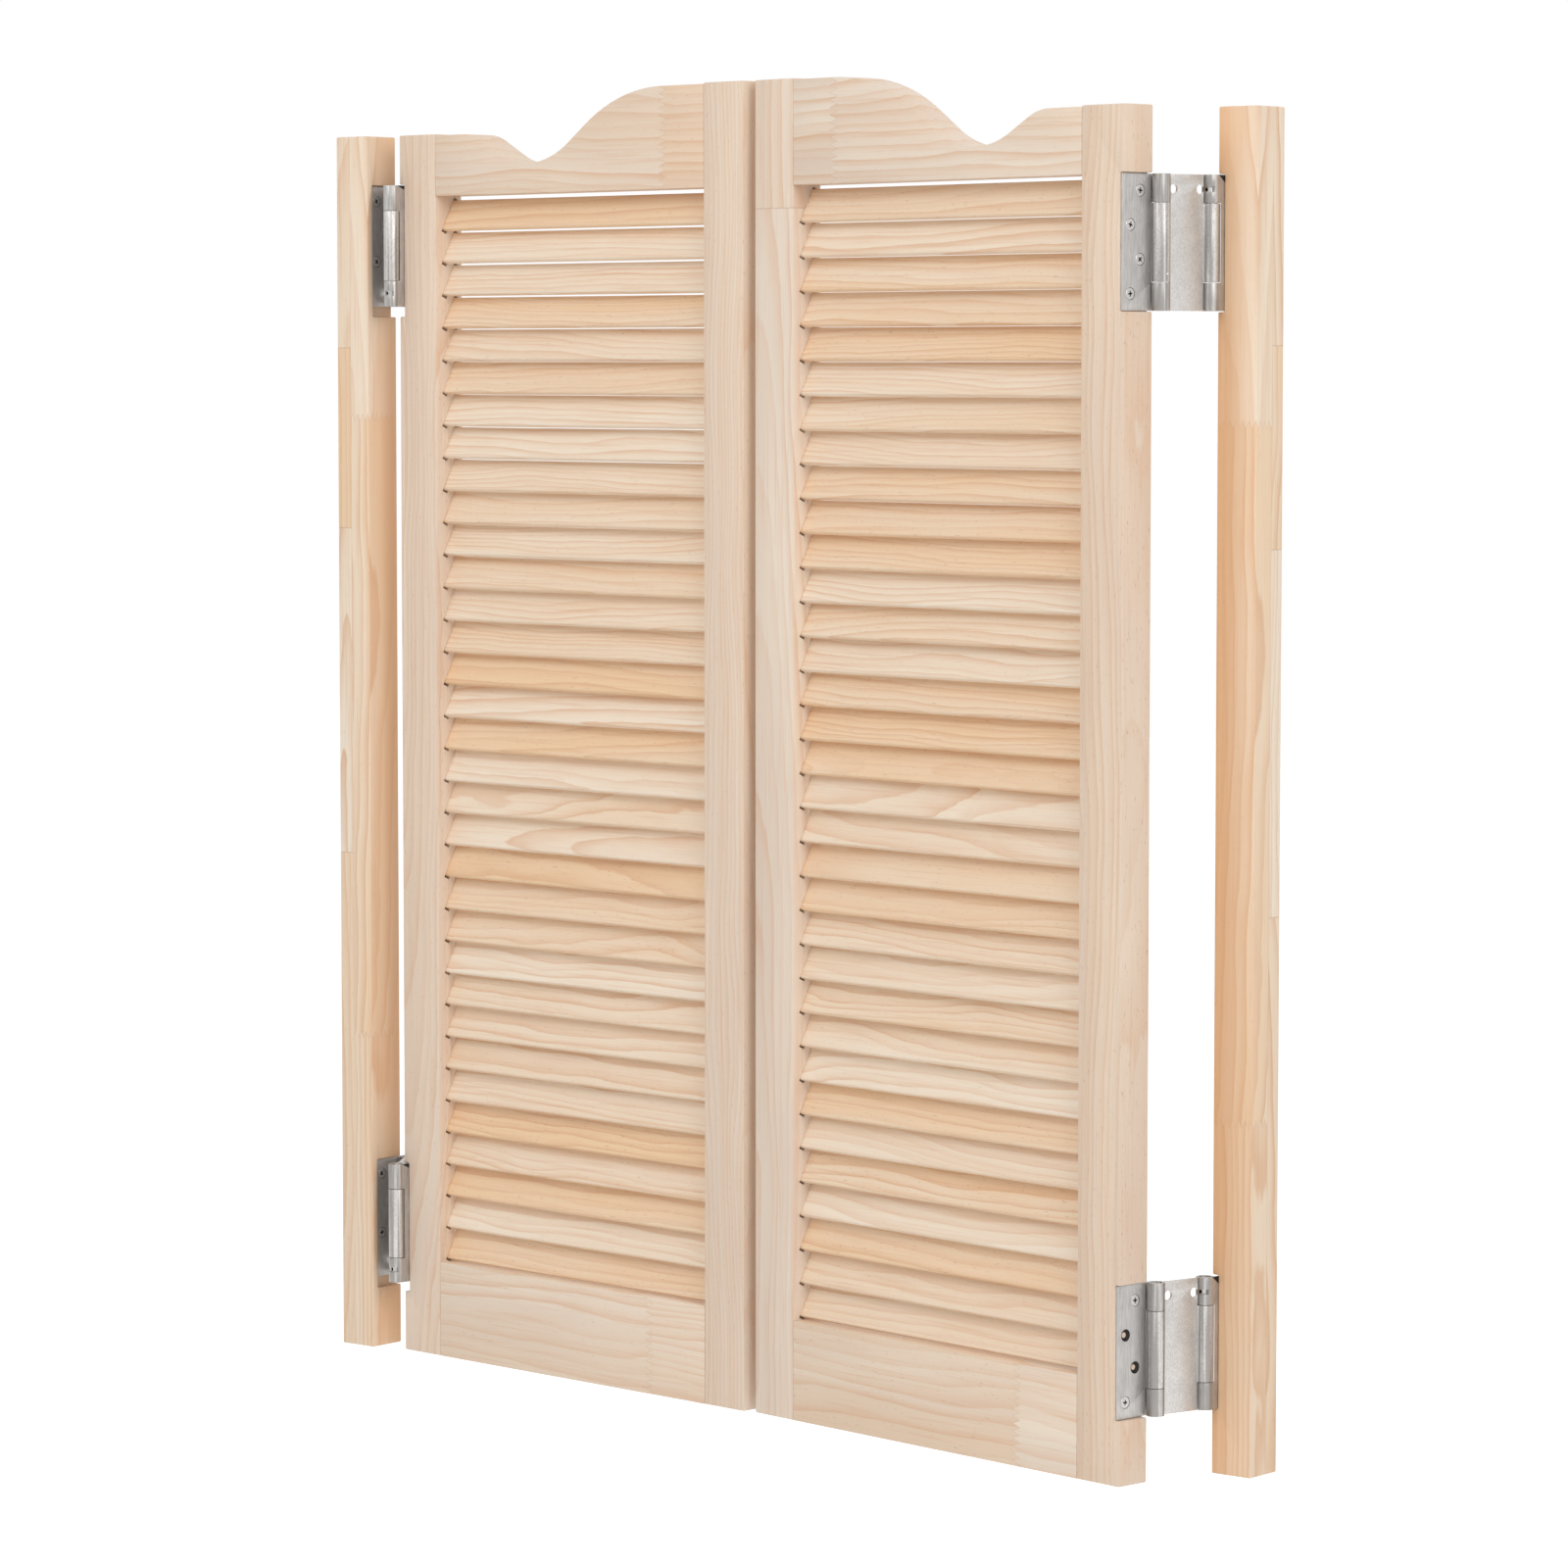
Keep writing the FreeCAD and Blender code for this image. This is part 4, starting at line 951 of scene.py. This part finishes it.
oneScrew = screwHead()
rowOfScrews = screwTree(oneScrew)
for side in sides:
    at = hang[side]
    holes = screwSpots(at["winderAtFoot"])
    for word, turn, axis, body in (("Door", at["doorLeafTurn"], at["doorAxis"], side + "_door"),
                                   ("Post", at["postLeafTurn"], at["postAxis"], "posts")):
        spots = []
        for level, up in at["feet"].items():
            missing = screw["missing"].get((side, level, word), ())
            spots += [placeAt(turn, axis, up=up) @ Vector((hinge["bore"], across, rise))
                      for index, (across, rise) in enumerate(holes) if index not in missing]
        host = newObject("screwHost", meshFrom("screwHost", spots, []))
        facing = host.data.attributes.new("facing", "FLOAT", "POINT")
        facing.data.foreach_set("value", [math.radians(turn)] * len(spots))
        growOn(host, rowOfScrews, {"Seed": screw["seed"][side], "Steel": materials["screw"]})
        piece = settle(host, f"{side}{word}Screws", smooth=30)
        finishPiece(piece, materials["screw"], body, [])
bpy.data.objects.remove(oneScrew)
print("screws made")


room = {
    "floorDrop": 0.42, "floorReach": 12.0, "floorPale": (0.86, 0.86, 0.86, 1), "roughness": 0.9, "gloss": 0.1,
    "white": (1, 1, 1, 1), "lift": (0.55, 0.55, 0.55, 1), "black": (0, 0, 0, 1),
    "ambient": 0.57,  # how strongly the world lights the doors; seen directly it is white
}
lamps = {
    "key": {"place": (4.3, -1.7, 1.9), "size": (2.0, 2.2), "watts": 58},
    "fill": {"place": (-0.2, -3.6, 2.6), "size": (2.2, 2.2), "watts": 46},
    "rear": {"place": (0.4, 3.2, 2.0), "size": (2.4, 2.0), "watts": 26},
}
lampAim = (0.47, 0, 0)
view = {"place": (3.3295, -3.5113, 0.3258), "pitch": 4.274, "heading": 39.096, "lens": 129.2, "sensor": 36.0}


def seenDirectly(tree):
    # 1 for rays from the camera, also by way of a mirror or a clear pane
    path = makeNode(tree, "ShaderNodeLightPath").outputs()
    straight, mirrored, through = (Wire(tree, path[f"Is {kind} Ray"]) for kind in ("Camera", "Glossy", "Transmission"))
    return (straight + mirrored + through).least(1.0)


world = bpy.data.worlds.new("studio")
bpy.context.scene.world = world
world.use_nodes = True
sky = world.node_tree.nodes["Background"]
sky.inputs["Color"].default_value = room["white"]
feed(sky, {"Strength": seenDirectly(world.node_tree) * (1 - room["ambient"]) + room["ambient"]})

reach, floorZ = room["floorReach"], foot - room["floorDrop"]
corners = [(x * reach, y * reach, floorZ) for x, y in ((-1, -1), (1, -1), (1, 1), (-1, 1))]
floor = newObject("floor", meshFrom("floor", corners, [[0, 1, 2, 3]]))
floorMaterial, tree, shader = newMaterial("floorPale", **{
    "Base Color": room["floorPale"], "Roughness": room["roughness"], "Specular IOR Level": room["gloss"],
    "Emission Strength": 1.0})
feed(shader, {"Emission Color": mixColour(tree, seenDirectly(tree), room["black"], room["lift"])})
floor.data.materials.append(floorMaterial)

for name, lamp in lamps.items():
    data = bpy.data.lights.new(name, "AREA")
    data.shape = "RECTANGLE"
    data.size, data.size_y = lamp["size"]
    data.energy = lamp["watts"]
    made = newObject(name, data)
    made.location = lamp["place"]
    made.rotation_euler = (Vector(lampAim) - Vector(lamp["place"])).to_track_quat("-Z", "Y").to_euler()

cameraData = bpy.data.cameras.new("camera")
cameraData.sensor_width = view["sensor"]
cameraData.lens = view["lens"]
camera = newObject("camera", cameraData)
camera.location = view["place"]
camera.rotation_euler = (math.radians(90 - view["pitch"]), 0, math.radians(view["heading"]))
bpy.context.scene.camera = camera
bpy.context.scene.view_settings.view_transform = "Standard"
print("room lit")
